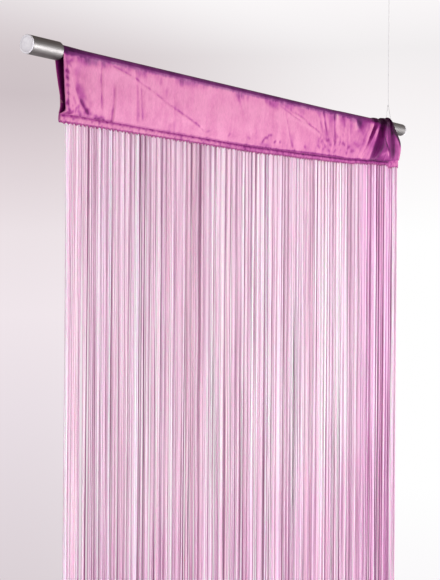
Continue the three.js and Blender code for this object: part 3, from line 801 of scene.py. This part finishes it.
def grid_normals(points):
    normal = np.cross(np.gradient(points, axis=0), np.gradient(points, axis=1))
    return normal / np.maximum(np.linalg.norm(normal, axis=2, keepdims=True), 1e-9)


def rounded_path(points, pieces=8, passes=3):
    """A path through a few points, with its corners smoothed."""
    knots = np.array(points, float)
    spans = [np.linspace(a, b, pieces, endpoint=False) for a, b in zip(knots, knots[1:])]
    path = np.concatenate(spans + [knots[-1:]])
    for _ in range(passes):
        path[1:-1] = 0.25 * path[:-2] + 0.5 * path[1:-1] + 0.25 * path[2:]
    return path


def beside(path, s, z):
    """How far points are from a path, the same with the side's sign, and how far along it, from 0 to 1."""
    step = np.diff(path, axis=0)
    best = np.full(s.shape, np.inf)
    signed, where = np.zeros(s.shape), np.zeros(s.shape)
    for k, (step_s, step_z) in enumerate(step):
        off_s, off_z = s - path[k, 0], z - path[k, 1]
        t = np.clip((off_s * step_s + off_z * step_z) / np.hypot(step_s, step_z) ** 2, 0, 1)
        away_s, away_z = off_s - t * step_s, off_z - t * step_z
        far = np.hypot(away_s, away_z)
        closer = far < best
        best = np.where(closer, far, best)
        signed = np.where(closer, far * np.sign(step_s * away_z - step_z * away_s), signed)
        where = np.where(closer, (k + t) / len(step), where)
    return best, signed, where


def pressed(s, z):
    """Relief of the front's creases, bands and puckers, in mm, and the shade painted into the colour along
    them (painted light where negative).
    """
    relief, tint = np.zeros_like(s), np.zeros_like(s)
    broken = np.clip(0.85 + 0.5 * soft_noise(s, z, 9, (9, 17)), 0.15, 1.3)
    for points, wide, deep, side, ridge, shade in CREASES:
        path = rounded_path(points)
        near = (s > path[:, 0].min() - CREASE_REACH) & (s < path[:, 0].max() + CREASE_REACH)
        far, signed, where = beside(path, s[near], z[near])
        ends = lerp(0.25, 1, ease(where, 0, 0.15) * smooth((1 - where) / 0.2))
        ends *= far < CREASE_REACH
        groove = hump(signed, 0, wide)
        bank = hump(signed * side, 2.1 * wide, 1.3 * wide)
        relief[near] += (-deep * groove + ridge * bank) * ends
        tint[near] += (0.5 * shade * groove - 0.08 * bank * np.sign(shade)) * ends * broken[near]
    for *ends, wide, deeper in BANDS:
        band = stroke(s, z, *ends, wide)
        relief -= 3.0 * deeper * band
        tint += deeper * band
    dice = np.random.default_rng(SEED + 16)
    for at, level, size, depth in MARKS:
        lean, tall = dice.uniform(-3, 3), dice.uniform(-1, 3)
        spot = stroke(s, z, at - lean, level - tall, at + lean, level + tall, size)
        relief -= 0.9 * depth * spot
        tint += 0.75 * depth * spot
    return relief, tint


def crown_shade(s, z):
    """Painted shade: the dark band along the rod's crest, where the cloth turns up away from the light, and
    the purple patches under it; the band has an uneven lower edge.
    """
    level = z + 1.2 * soft_noise(s, 0, 6, (8, 19))
    end = 0.2 * (1 - ease(s, -475, 120))
    dark = (0.40 + end) * ease(level, -6.5, 6) + 0.29 * ease(level, 0.5, 5)
    veil = np.zeros_like(s)
    for at, wide, low, depth in CROWN_PATCHES:
        veil += depth * hump(s, at, wide) * ease(z, -1.35 * low, 1.1 * low)
    fleck = 1 + 0.35 * soft_noise(s, 0.4 * z, 7, (6, 13))
    return np.maximum(dark, np.minimum(veil * fleck, 0.7))


def side_hem(s):
    """1 on the doubled hem down the left-hand side, and 0 beside it."""
    return 1 - ease(s - CLOTH["left"], CLOTH["side_hem"], 1.2)


def front_relief(s, z, relief):
    """How far the front stands out, in mm, from its creases, soft waves, side hem and seam together."""
    above = z + stitch_drop(s)
    relief = relief + 0.22 * soft_noise(s, z, 1, (26, 11)) * ease(-z, 0, 10) * ease(above, 0, 6)
    relief += 0.5 * side_hem(s) - 0.35 * hump(s - CLOTH["left"], CLOTH["side_hem"] + 0.5, 0.9)
    return relief - 0.28 * hump(above, 0.3, 1.9) * (1 + 0.4 * soft_noise(s, z, 3, (5, 9)))


def seam_shade(s, z):
    """The shade above the stitch line: fainter at both ends, and higher where the cloth is pulled."""
    wobble = 0.7 * soft_noise(s, 0, 13, (9, 23)) + 1.6 * ease(s, 60, 60) * (1 - ease(s, 250, 50))
    depth = (0.16 + 0.20 * ease(s, -240, 300)) * (1 + 0.25 * soft_noise(s, z, 8, (6, 14)))
    depth *= ease(s, -470, 60, 0.5) * ease(s, BUNCH_FROM, 40, 1, 0.55) * ease(s, 455, 25, 1, 0.3)
    return depth * hump(z + stitch_drop(s) - 0.6, 0.5 * wobble, 1.6 + 0.5 * wobble, power=4)


def front_veil(s, z):
    """The front's painted shade, darker lower down and towards the right, with a slow random change of tone
    from place to place; the side hem is darker too.
    """
    rightward = ease(s, 190, 140)
    veil = 0.04 + (0.03 + 0.07 * ease(s, -200, 300)) * ease(-z, 12, 60) + 0.07 * rightward
    veil += 0.035 * soft_noise(s, 0.12 * z, 2, (9, 22)) + 0.04 * soft_noise(s, z, 5, (16, 34)) * rightward
    return veil + 0.10 * side_hem(s) * ease(-z, 6, 14)


def hem_band(columns, hem_x):
    """Points and tone of the hem band: down behind, round its lower edge and up in front; the tone holds
    painted shade under the seam and along the lower edge.
    """
    swing = look_up(HEM, SWING, columns)
    top, bottom = -stitch_drop(columns), -look_up(HEM, DROP, columns)
    bottom_x = np.where(columns > GATHER_FROM, hem_x, columns)
    uneven = 0.12 * soft_noise(columns, 0, 4, (9, 21))
    right_end = ease(columns, END_FROM, 20)
    even = lerp(1, 0.2, right_end)
    edge = ease(columns, 20, 150, 0.32, 0.45)
    base = 0.05 + 0.20 * ease(columns, -270, 260) + 0.16 * ease(columns, BUNCH_FROM, 40) - 0.22 * right_end
    points, tones = [], []
    for side, rows in ((1, HEM_OUTLINE[1:]), (-1, HEM_OUTLINE[:0:-1])):
        for share, half in rows:
            pad = half * (1 + uneven * np.sin(np.pi * share) * 2)
            points.append(np.stack([
                lerp(hem_x, bottom_x, share), swing + side * pad, lerp(top, bottom, share)], -1))
            tone = base + 0.06 * soft_noise(columns, share * 9, 11, (7, 18))
            spots = 0.26 * np.clip(soft_noise(columns, share * 40, 14, (9, 20)), 0, 1)
            # painted shade along the band's lower edge and under the seam at its top
            shade = 0.30 * ease(share, 0.7, 0.2) + edge * smooth((0.5 - share) / 0.4)
            tones.append(tone + spots + even * shade)
    return np.stack(points, 1), np.stack(tones, 1)


OUTSIDE, INSIDE = 0, 1  # the header's material slots


def header_faces(count, rows, skin_rows, inner_rows):
    """Faces and slots: the outside with the band, the lining, and a rim at each end that joins the two."""
    holes = len(inner_rows)

    def out(k, r):
        return k * rows + r % rows

    def inn(k, r):
        return count * rows + k * holes + r % holes

    faces, slots = [], []
    for k in range(count - 1):
        for r in range(rows):
            faces.append((out(k, r), out(k + 1, r), out(k + 1, r + 1), out(k, r + 1)))
        for r in range(holes):
            faces.append((inn(k, r), inn(k, r + 1), inn(k + 1, r + 1), inn(k + 1, r)))
        slots += [OUTSIDE] * rows + [INSIDE] * holes
    for k, step in ((0, 1), (count - 1, -1)):
        rim = []
        for j, (first, last) in enumerate(zip(inner_rows, inner_rows[1:])):
            rim += [(out(k, r), out(k, r + 1), inn(k, j)) for r in range(first, last)]
            rim.append((out(k, last), inn(k, j + 1), inn(k, j)))
        end = [out(k, r) for r in range(skin_rows - 1, rows)]
        rim.append((*end, out(k, 0), inn(k, 0), inn(k, holes - 1)))
        faces += [f[::step] for f in rim]
        slots += [OUTSIDE] * len(rim)
    return faces, slots


def build_header():
    columns = column_list()
    middle, s, z = middle_grid(columns)
    count, skin_rows = middle.shape[:2]
    flat = 1 - ease(s, TONE_FROM, 26)  # 1 where the front isn't gathered
    creases, tint = pressed(s, z)
    amount = np.zeros((count, skin_rows))
    amount[:, :FRONT_ROWS] = front_relief(s, z, creases) * lerp(0.25, 1, flat)
    skin = middle + grid_normals(middle) * amount[..., None]
    outer = skin + grid_normals(skin) * OUTER_SKIN
    inner_rows = sorted({*range(0, skin_rows, LINING_STEP), skin_rows - 1})
    inner = skin[:, inner_rows]
    band, band_deep = hem_band(columns, middle[:, 0, 0])
    outer = np.concatenate([outer, band], 1)

    gathered = columns > GATHER_FROM
    gather = np.zeros_like(s)
    gather[gathered] = gather_shade(s[gathered], z[gathered])
    crown = crown_shade(s, z)
    # The front's colour depth, mostly painted shade and light: the gather's flanks, the creases, bands and
    # puckers, the front's slow shading, the crown's dark band and the shade above the seam.
    front = lerp(gather, tint + front_veil(s, z) + crown, flat) + seam_shade(s, z)
    # painted shade over the crest, deepest at the left-hand end and over the gather
    crest = ease(columns, BUNCH_FROM, 30, ease(columns, -475, 120, 0.88, 0.70))
    crest = np.repeat(crest[:, None], WRAP_ROWS, 1)
    # painted shade on the back layer, deep near the rod
    back = 0.1 + 0.7 * ease(middle[:, FRONT_ROWS + WRAP_ROWS:, 2], -9, 10)
    # painted shade inside the pocket, with painted light on the back layer near the left-hand mouth
    lining = np.full(inner.shape[:2], 0.85)
    lining[:, len(inner_rows) // 2:] = ease(columns - CLOTH["left"], 0, 9, 0.1, 0.85)[:, None]
    deep = np.concatenate([front, crest, back, band_deep], 1)
    # painted sheen on the crown's dark band and the crest
    dusk = np.zeros(deep.shape)
    dusk[:, :FRONT_ROWS] = ease(crown, 0.14, 0.34) * flat
    dusk[:, FRONT_ROWS:FRONT_ROWS + WRAP_ROWS] = flat[:, :1]

    faces, slots = header_faces(count, outer.shape[1], skin_rows, inner_rows)
    points = np.concatenate([outer.reshape(-1, 3), inner.reshape(-1, 3)])
    shade = np.clip(np.concatenate([deep.ravel(), lining.ravel()]), 0, 1)
    painted_sheen_values = np.concatenate([dusk.ravel(), np.zeros(lining.size)])
    item = add_mesh("satin_header", points, faces, [SATIN, REVERSE], slots, {"deep": shade, "dusk": painted_sheen_values})
    return item, columns, outer


header, header_columns, header_outer = build_header()

# ---- header: its threads

HEM_STITCH = {"pitch": 3.1, "length": 2.2, "radius": 0.3, "level": 0.035}
SIDE_STITCH = {"pitch": 3.4, "length": 2.3, "radius": 0.34, "from_edge": 7.4, "low": -72, "high": -8}
OVERLOCK = {"turns": 116, "radius": 0.95, "steps": 10}
THREAD_SIDES = 6


def hem_point(place, share):
    """A point on the hem band's front: share of its height below the stitch line."""
    half = np.interp(share, *zip(*HEM_OUTLINE))
    x = np.interp(place, header_columns, header_outer[:, 0, 0])
    top, bottom = -stitch_drop(place), -look_up(HEM, DROP, place)
    return np.stack([x, look_up(HEM, SWING, place) - half, lerp(top, bottom, share)], -1)


def stitch(a, b, radius):
    """One thread stitch that dips into the cloth at both ends."""
    t = np.array([0, 0.12, 0.5, 0.88, 1])[:, None]
    lift = np.array([-0.35, 0.1, 0.3, 0.1, -0.35])[:, None]
    return tube(lerp(a, b, t) + np.array([0, -1.0, 0]) * lift, radius, THREAD_SIDES)


def build_stitches():
    parts = []
    for start in np.arange(CLOTH["left"] + 3, CLOTH["right"] - 3, HEM_STITCH["pitch"]):
        ends = hem_point(np.array([start, start + HEM_STITCH["length"]]), HEM_STITCH["level"])
        parts.append(stitch(*ends, HEM_STITCH["radius"]))
    side_column = np.argmin(abs(header_columns - (CLOTH["left"] + SIDE_STITCH["from_edge"])))
    line = header_outer[side_column, :FRONT_ROWS]
    for height in np.arange(SIDE_STITCH["low"], SIDE_STITCH["high"], SIDE_STITCH["pitch"]):
        ends = [np.array([np.interp(level, line[:, 2], line[:, axis]) for axis in range(3)])
                for level in (height, height + SIDE_STITCH["length"])]
        parts.append(stitch(*ends, SIDE_STITCH["radius"]))
    return add_mesh("header_stitches", *joined(parts), [HEM_THREAD])


def build_braid():
    """The overlocked edge that the strings hang from: a thread that zigzags along the hem's lower edge."""
    pitch = (STRINGS["right"] - STRINGS["left"]) / OVERLOCK["turns"]
    place = np.arange(CLOTH["left"] + 1, CLOTH["right"] - 1, pitch / OVERLOCK["steps"])
    route = hem_point(place, 1.0)
    uneven = soft_noise(place, 0, 15, (9, 26))
    turn = 2 * np.pi * (place - STRINGS["left"]) / pitch + 1.6 * uneven
    route[:, 2] += 0.3 + (1.5 + 0.9 * uneven) * np.cos(turn)
    route[:, 1] += -0.45 - 0.5 * np.sin(turn)
    return add_mesh("hem_overlock", *tube(route, OVERLOCK["radius"], THREAD_SIDES), [HEM_THREAD])


stitches = build_stitches()
braid = build_braid()

# ---- strings

STRING_COUNT = 300
STRING_RINGS = 58
STRING_SIDES = 6
END_RING = 0.0003  # share of the length between a cut end and the ring just inside it
YARN_TURNS = (3, 900)  # how often the yarn's twist repeats round a string and along it
# String colours from the strings' own pale pink (0) to the painted shade of the deepest (1)
TINT_PLACES = (0, 0.22, 0.45, 0.72, 1)
TINTS = np.array([rgb(*tint)[:3] for tint in (
    (253, 245, 251), (249, 229, 242), (233, 203, 222), (198, 160, 185), (152, 102, 136),
)])
LILAC = np.array([-0.035, 0.0, 0.02])  # how a string's colour leans from pink to lilac
FLUSH = np.array([0.04, -0.20, 0.01])  # and towards magenta under the gather (painted shade with pink light from the cloth above it), and more faintly halfway down elsewhere
# How much deeper the fringe's colour is along the rod, with painted shade under the gather: place, depth
DEPTH_ALONG = np.array([
    (-480, 0.04), (-300, 0.06), (-120, 0.03), (-20, -0.04), (30, -0.08), (90, 0.02), (240, 0.06),
    (330, 0.06), (380, 0.09), (410, 0.27), (432, 0.31), (470, 0.27), (510, 0.12),
])
# How many strings hang together in a lock: place, strings
LOCK_SIZE = np.array([
    (-462, 4.2), (-370, 4.0), (-320, 3.3), (-230, 3.8), (-130, 3.4), (0, 3.6), (508, 3.8),
])
# The strings' sway from hem to cut end: wave length, how far
SWAY = [(1500, 1.3), (700, 0.6), (330, 0.28)]


def string_tint(depth):
    depth = np.clip(depth, 0, 1)
    return np.stack([np.interp(depth, TINT_PLACES, TINTS[:, k]) for k in range(3)], -1)


def gathered_share(place):
    """1 under the gather, where pale and deep strings lie side by side, and 0 away from it."""
    return bunched(place) * (1 - ease(place, 480, 30))


def string_plan(dice):
    """For each string: where it hangs, the middle of its lock, how deep its colour is, its radius and how
    far back it hangs. The deep last string of each lock hangs further back, as painted shade between locks;
    under the gather pale and deeper strings take turns, as painted shade too."""
    places = np.linspace(STRINGS["left"], STRINGS["right"], STRING_COUNT)
    lock, depth = [], []
    while len(lock) < STRING_COUNT:
        first = len(lock)
        size = max(2, round(look_up(LOCK_SIZE, 1, places[first]) * dice.uniform(0.65, 1.4)))
        pale = dice.uniform(0, 0.36)
        dark = dice.choice([0.6, 0.74, 0.88, 1.0], p=[0.28, 0.34, 0.26, 0.12])
        tones = pale + dice.uniform(0, 0.16, size)
        tones[-1] = dark
        if size > 3:
            tones[-2] = lerp(pale, dark, dice.uniform(0.3, 0.8))
        depth += list(tones)
        lock += [places[first: first + size].mean()] * size
    lock, depth = np.array(lock[:STRING_COUNT]), np.array(depth[:STRING_COUNT])
    set_back = lerp(-0.4, 0.5, depth) + dice.uniform(-0.2, 0.2, STRING_COUNT)
    depth = depth + dice.uniform(-0.06, 0.06, STRING_COUNT) + look_up(DEPTH_ALONG, 1, places)
    depth -= np.where(np.arange(STRING_COUNT) % 2, 0.3, -0.1) * gathered_share(places)
    places = places + dice.uniform(-0.5, 0.5, STRING_COUNT)
    radius = dice.uniform(1.4, 1.65, STRING_COUNT)
    return zip(places, lock, depth, radius, set_back)


def string_levels():
    """Shares of a string's length, closer together near the hem, with a ring just inside each cut end."""
    t = np.linspace(0, 1, STRING_RINGS - 2)
    t = lerp(t, t * t, 0.55)
    return np.concatenate([[0, END_RING], t[1:-1], [1 - END_RING, 1]])


def string_rings(place, lock, wide, set_back, levels, dice):
    """The rings of one string, from the hem down to its cut end."""
    top = hem_point(np.array([place]), 0.96)[0]
    drop = levels * (STRINGS["length"] - dice.uniform(0, 5))
    settled = smooth(drop / dice.uniform(110, 420))
    sway = 0
    for size, amount in SWAY:
        phase = dice.uniform(0, TURN)
        period = size * dice.uniform(0.8, 1.25)
        reach = amount * dice.uniform(0.4, 1)
        sway = sway + reach * (np.sin(drop * TURN / period + phase) - math.sin(phase))
    x = top[0] + (lock - place) * lerp(0.04, dice.uniform(0.04, 0.16), settled) + 0.7 * sway * settled
    y = look_up(HEM, SWING, place) + lerp(0.4, 1.0, settled) * set_back
    y = y + 0.4 * settled * np.sin(drop / 210 + dice.uniform(0, 6))
    centre = np.stack([x, y, top[2] - drop], -1)
    thin = wide * dice.uniform(0.72, 0.86)
    twist = dice.uniform(0, 3.14) + np.cumsum(dice.normal(0, 0.22, STRING_RINGS)) * 0.8
    cos, sin = np.cos(twist)[:, None], np.sin(twist)[:, None]
    across = wide * np.cos(around(STRING_SIDES))
    deep = thin * np.sin(around(STRING_SIDES))
    dx, dy = across * cos - deep * sin, across * sin + deep * cos
    points = centre[:, None, :] + np.stack([dx, dy, 0 * dx], -1)
    points[0] = centre[0] + (points[0] - centre[0]) * 0.8
    return points


def string_colours(place, depth, levels, dice):
    """The colour of one string at each of its rings, with painted shade along it and the painted pink light
    under the gather.
    """
    # Painted shade along the string: slow deepening and paling as the yarn turns; a little deeper below its
    # top third, halfway down, and lower down under the gather.
    shift = 0.10 * np.sin(levels * dice.uniform(6, 16) + dice.uniform(0, TURN)) + 0.05 * smooth(levels * 3)
    drop = levels * STRINGS["length"]
    lower = ease(drop, 520, 150) * (1 - ease(drop, 900, 300))
    shift = shift + 0.1 * gathered_share(place) * ease(drop, 250, 500) + 0.06 * lower
    tint = string_tint(depth + shift + 0.05 * np.sin(levels * 41 + dice.uniform(0, TURN)))
    # painted shade with pink light from the gathered cloth above: magenta under the gather, fainter halfway
    # down
    flush = np.maximum(gathered_share(place), 0.4 * lower) * (0.35 + np.clip(depth + shift, 0, 1))
    return np.clip(tint * (1 + dice.normal(0, 0.5) * LILAC + flush[:, None] * FLUSH), 0, 1)


def build_strings():
    dice = np.random.default_rng(SEED + 20)
    levels = string_levels()
    twist_u = np.tile(np.arange(STRING_SIDES) / STRING_SIDES * YARN_TURNS[0], STRING_RINGS)
    twist_v = np.repeat(levels * YARN_TURNS[1], STRING_SIDES)
    one_uv = np.stack([twist_u, twist_v], -1)
    one_faces = ring_faces(STRING_RINGS, STRING_SIDES, clockwise=False)
    plan = list(string_plan(dice))
    half = STRING_COUNT // 2
    pieces = []
    for name, chosen in (("strings_left", plan[:half]), ("strings_right", plan[half:])):
        parts, colours = [], []
        for place, lock, depth, radius, set_back in chosen:
            rings = string_rings(place, lock, radius, set_back, levels, dice)
            parts.append((rings.reshape(-1, 3), one_faces))
            colours.append(np.repeat(string_colours(place, depth, levels, dice), STRING_SIDES, axis=0))
        colour = np.concatenate(colours)
        colour = np.concatenate([colour, np.ones((len(colour), 1))], 1)
        pieces.append(add_mesh(name, *joined(parts), [YARN], attributes={"tint": colour},
                               uv=np.tile(one_uv, (len(chosen), 1))))
    return pieces


strings = build_strings()

# ---- rod, sleeves, caps, knot and fitting


def rounded(outer, face, by, steps, lead):
    """Rows of a rounded rim, from its flat face out to its full radius. The piece lies beyond the face
    along the axis where lead is 1, and before it where lead is -1."""
    turn = np.linspace(0, math.pi / 2, steps + 1)
    return [(outer - by * (1 - math.sin(a)), face + lead * by * (1 - math.cos(a))) for a in turn]


def sleeve_profile(start):
    """A sleeve from its socket for the rod, whose mouth is at `start`, to the cup for its cap."""
    outer = SLEEVE["radius"]
    end = start + SLEEVE["length"] - CAP["thick"] - CLEAR
    socket, socket_end = ROD["radius"] + CLEAR, start + SLEEVE["socket"]
    cup, cup_end = SLEEVE["cup"], end - SLEEVE["cup_deep"]
    bevel = 0.3
    return [(0, socket_end), (socket, socket_end), (socket, start),
            *rounded(outer, start, SLEEVE["round"], 6, 1), (outer, start + 12), (outer, start + 30),
            (outer, end - bevel), (outer - bevel, end), (cup, end), (cup, cup_end), (0, cup_end)]


def cap_profile(start):
    """A cap from its spigot to its dished face, on the sleeve that starts at `start`."""
    outer, front = SLEEVE["radius"], start + SLEEVE["length"]
    back = front - CAP["thick"]
    spigot, spigot_end = SLEEVE["cup"] - CLEAR, back - CAP["spigot"]
    dish, dish_face = outer - CAP["rim"], front - CAP["dish"]
    bevel = 0.2
    return [(0, spigot_end), (spigot, spigot_end), (spigot, back), (outer - bevel, back),
            (outer, back + bevel), *rounded(outer, front, CAP["round"], 5, -1)[::-1], (dish + 0.4, front),
            (dish, front - 0.15), (dish - 0.5, front - CAP["dish"] * 0.8), (dish - 1.1, dish_face),
            (dish * 0.5, dish_face - 0.05), (0, dish_face)]


def build_hardware():
    half = ROD["showing"] / 2
    reach = half + SLEEVE["socket"] - CLEAR
    bore, radius = ROD["bore"], ROD["radius"]
    wall = [(bore, -reach), (radius, -reach), (radius, reach), (bore, reach), (bore, -reach)]
    pieces = {"rod_tube": lathe("curtain_rod", wall, 72, TUBE_METAL)}
    for side, sign in (("left", -1), ("right", 1)):
        for part, rows, stuff in (("sleeve", sleeve_profile(half), ALUMINIUM),
                                  ("cap", cap_profile(half), PALE_CAP)):
            rows = [(r, sign * h) for r, h in rows]
            pieces[f"{side}_{part}"] = lathe(f"rod_{part}_{side}", rows, 96, stuff)
    return pieces


def build_fitting():
    """The ceiling fitting: the line's hole, then its outline as radius and height over its lower end."""
    bottom, top = FITTING["bottom"], FITTING["top"]
    hole, deep = LINE["diameter"] / 2 + CLEAR, bottom + FITTING["socket"]
    outline = [(2.6, 0), (3.3, 0.25), (3.8, 0.7), (4, 1.2), (4.5, 9), (4.8, 10.6), (5.7, 12.8), (7, 15),
               (9.6, 17.3), (12.4, 18.7), (13, 19.3)]
    rows = [(0, deep), (hole, deep), (hole, bottom + 0.3), (hole + 0.3, bottom),
            *((radius, bottom + height) for radius, height in outline),
            (13, top - 0.4), (12.6, top), (0, top)]
    return lathe("ceiling_fitting_turned", rows, 72, ALUMINIUM, upright_at=LINE["x"])


def build_knot():
    """A few turns of the line round itself, drawn tight."""
    t = np.linspace(0, 1, 24 * KNOT["turns"] + 1)
    angle = t * 2 * np.pi * KNOT["turns"]
    wide = KNOT["radius"] - 0.22 * np.cos(2 * np.pi * 2 * t)
    route = np.stack([LINE["x"] + wide * np.cos(angle), wide * np.sin(angle),
                      KNOT["z"] + lerp(-1, 1, t) * (KNOT["half_tall"] - 0.5)], -1)
    return add_mesh("line_knot_turns", *tube(route, LINE["diameter"] / 2, 8), [NYLON])


hardware = build_hardware()
fitting = build_fitting()
knot = build_knot()
line = add_line(NYLON)

# ---- floor, backdrop and lights

FLOOR = {"sides": 96, "radius": 2800, "level": -2015}
# The wall behind the object, at its left and its right, with painted shade on it: a painted shadow a little
# above the horizon on the left, and lighter to the right. Rows: how far up (+) or down (-) one looks,
# colour
LEFT_WALL = [
    (-0.32, (218, 208, 213)), (-0.15, (233, 223, 229)), (-0.06, (240, 230, 235)), (0.02, (236, 226, 230)),
    (0.095, (221, 209, 213)), (0.155, (205, 193, 197)), (0.19, (209, 198, 201)), (0.25, (228, 221, 224)),
]
RIGHT_WALL = [
    (-0.32, (250, 248, 250)), (-0.22, (255, 255, 255)), (0.02, (255, 255, 255)), (0.1, (250, 247, 248)),
    (0.16, (245, 241, 242)), (0.2, (241, 238, 239)), (0.25, (251, 248, 249)),
]
# The surround from straight down (0) through the horizon (0.5) to straight up (1)
SURROUND = [
    (0.0, 124, 120, 122), (0.25, 132, 128, 130), (0.42, 196, 191, 194), (0.52, 200, 196, 198),
    (0.62, 184, 178, 178), (0.75, 156, 147, 144), (0.87, 128, 116, 110), (1.0, 108, 95, 89),
]
# Area lights: name, place, target, width and height in metres, watts
LIGHTS = [
    ("key_light", (1.8, -2.5, -0.85), (0, 0, -0.35), 1.2, 1.1, 87),
    ("left_fill", (-1.2, -3.0, -0.9), (0, 0, -0.5), 1.6, 1.4, 26),
    ("rear_light", (-2.3, 1.6, 0.1), (-0.1, 0, -0.35), 1.2, 1.2, 26),
    ("floor_light_front", (0, -1.6, -0.9), (0, -1.6, -2), 2.0, 1.2, 3),
    ("floor_light_back", (0, 1.6, -0.9), (0, 1.6, -2), 2.0, 1.2, 14),
]


def add_floor():
    sides, radius, level = FLOOR["sides"], FLOOR["radius"], FLOOR["level"]
    points = [(0, 0, level), *((radius * math.cos(a), radius * math.sin(a), level) for a in around(sides))]
    faces = [(0, 1 + i, 1 + (i + 1) % sides) for i in range(sides)]
    material, nodes = new_material("studio_floor", Roughness=0.8)
    cloud = nodes.noise(nodes.place(), 6, 3, 0.5)
    nodes.dress(nodes.blend(cloud, rgb(205, 201, 203), rgb(216, 213, 215)))
    add_mesh("studio_floor", points, faces, [material])


def add_world():
    """A pale backdrop that is lighter to the right, and a dimmer surround that lights the object."""
    world = bpy.data.worlds.new("studio")
    scene.world = world
    nodes = Nodes(world)
    nodes.tree.nodes.clear()
    toward = nodes.add("TexCoord").outputs["Generated"]
    level = (math.cos(CAMERA_HEADING), -math.sin(CAMERA_HEADING), 0.0)
    sideways = nodes.add("VectorMath", {0: toward, 1: level}, operation="DOT_PRODUCT").outputs["Value"]
    height = nodes.add("SeparateXYZ", {0: toward}).outputs[2]
    walls = []
    for stops in (LEFT_WALL, RIGHT_WALL):
        low, high = stops[0][0], stops[-1][0]
        spread = [((place - low) / (high - low), *colour) for place, colour in stops]
        walls.append(nodes.ramp(nodes.range(height, low, high), spread))
    sideways = nodes.math("ADD", sideways, nodes.range(height, 0.195, 0.25, 0.0, 0.13))
    wall = nodes.blend(nodes.range(sideways, -0.2, 0.17, kind="SMOOTHSTEP"), *walls)
    glow = nodes.ramp(nodes.range(height, -1, 1), SURROUND)
    seen = nodes.add("LightPath").outputs["Is Camera Ray"]
    shader = nodes.add("Background", {"Color": nodes.blend(seen, glow, wall), "Strength": 1.0})
    nodes.add("OutputWorld", {0: shader.outputs[0]})


def add_light(name, place, target, width, height, power):
    data = bpy.data.lights.new(name, "AREA")
    data.shape = "RECTANGLE"
    data.size, data.size_y = width, height
    data.energy = power
    light = bpy.data.objects.new(name, data)
    light.visible_camera = False
    back = np.subtract(place, target, dtype=float)
    back /= np.linalg.norm(back)
    right = np.cross((0, 0, 1.0), back)
    straight_down = np.linalg.norm(right) < 1e-3
    right = np.array([1.0, 0, 0]) if straight_down else right / np.linalg.norm(right)
    stand(light, right, np.cross(back, right), back, place)


add_floor()
add_world()
for row in LIGHTS:
    add_light(*row)

# ---- each piece on the root body, with the CAD parts it stands in for hidden

for node, piece in hardware.items():
    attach(piece, "root")
    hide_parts(node)

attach(fitting, "root")
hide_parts("ceiling_fitting")

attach(knot, "root")
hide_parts("line_knot")

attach(line, "root")
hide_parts("line_loop", "hanging_line")

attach(header, "root")
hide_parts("header")
for piece in (stitches, braid):
    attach(piece, "root")
for piece in strings:
    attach(piece, "root")
    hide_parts("string_comb")
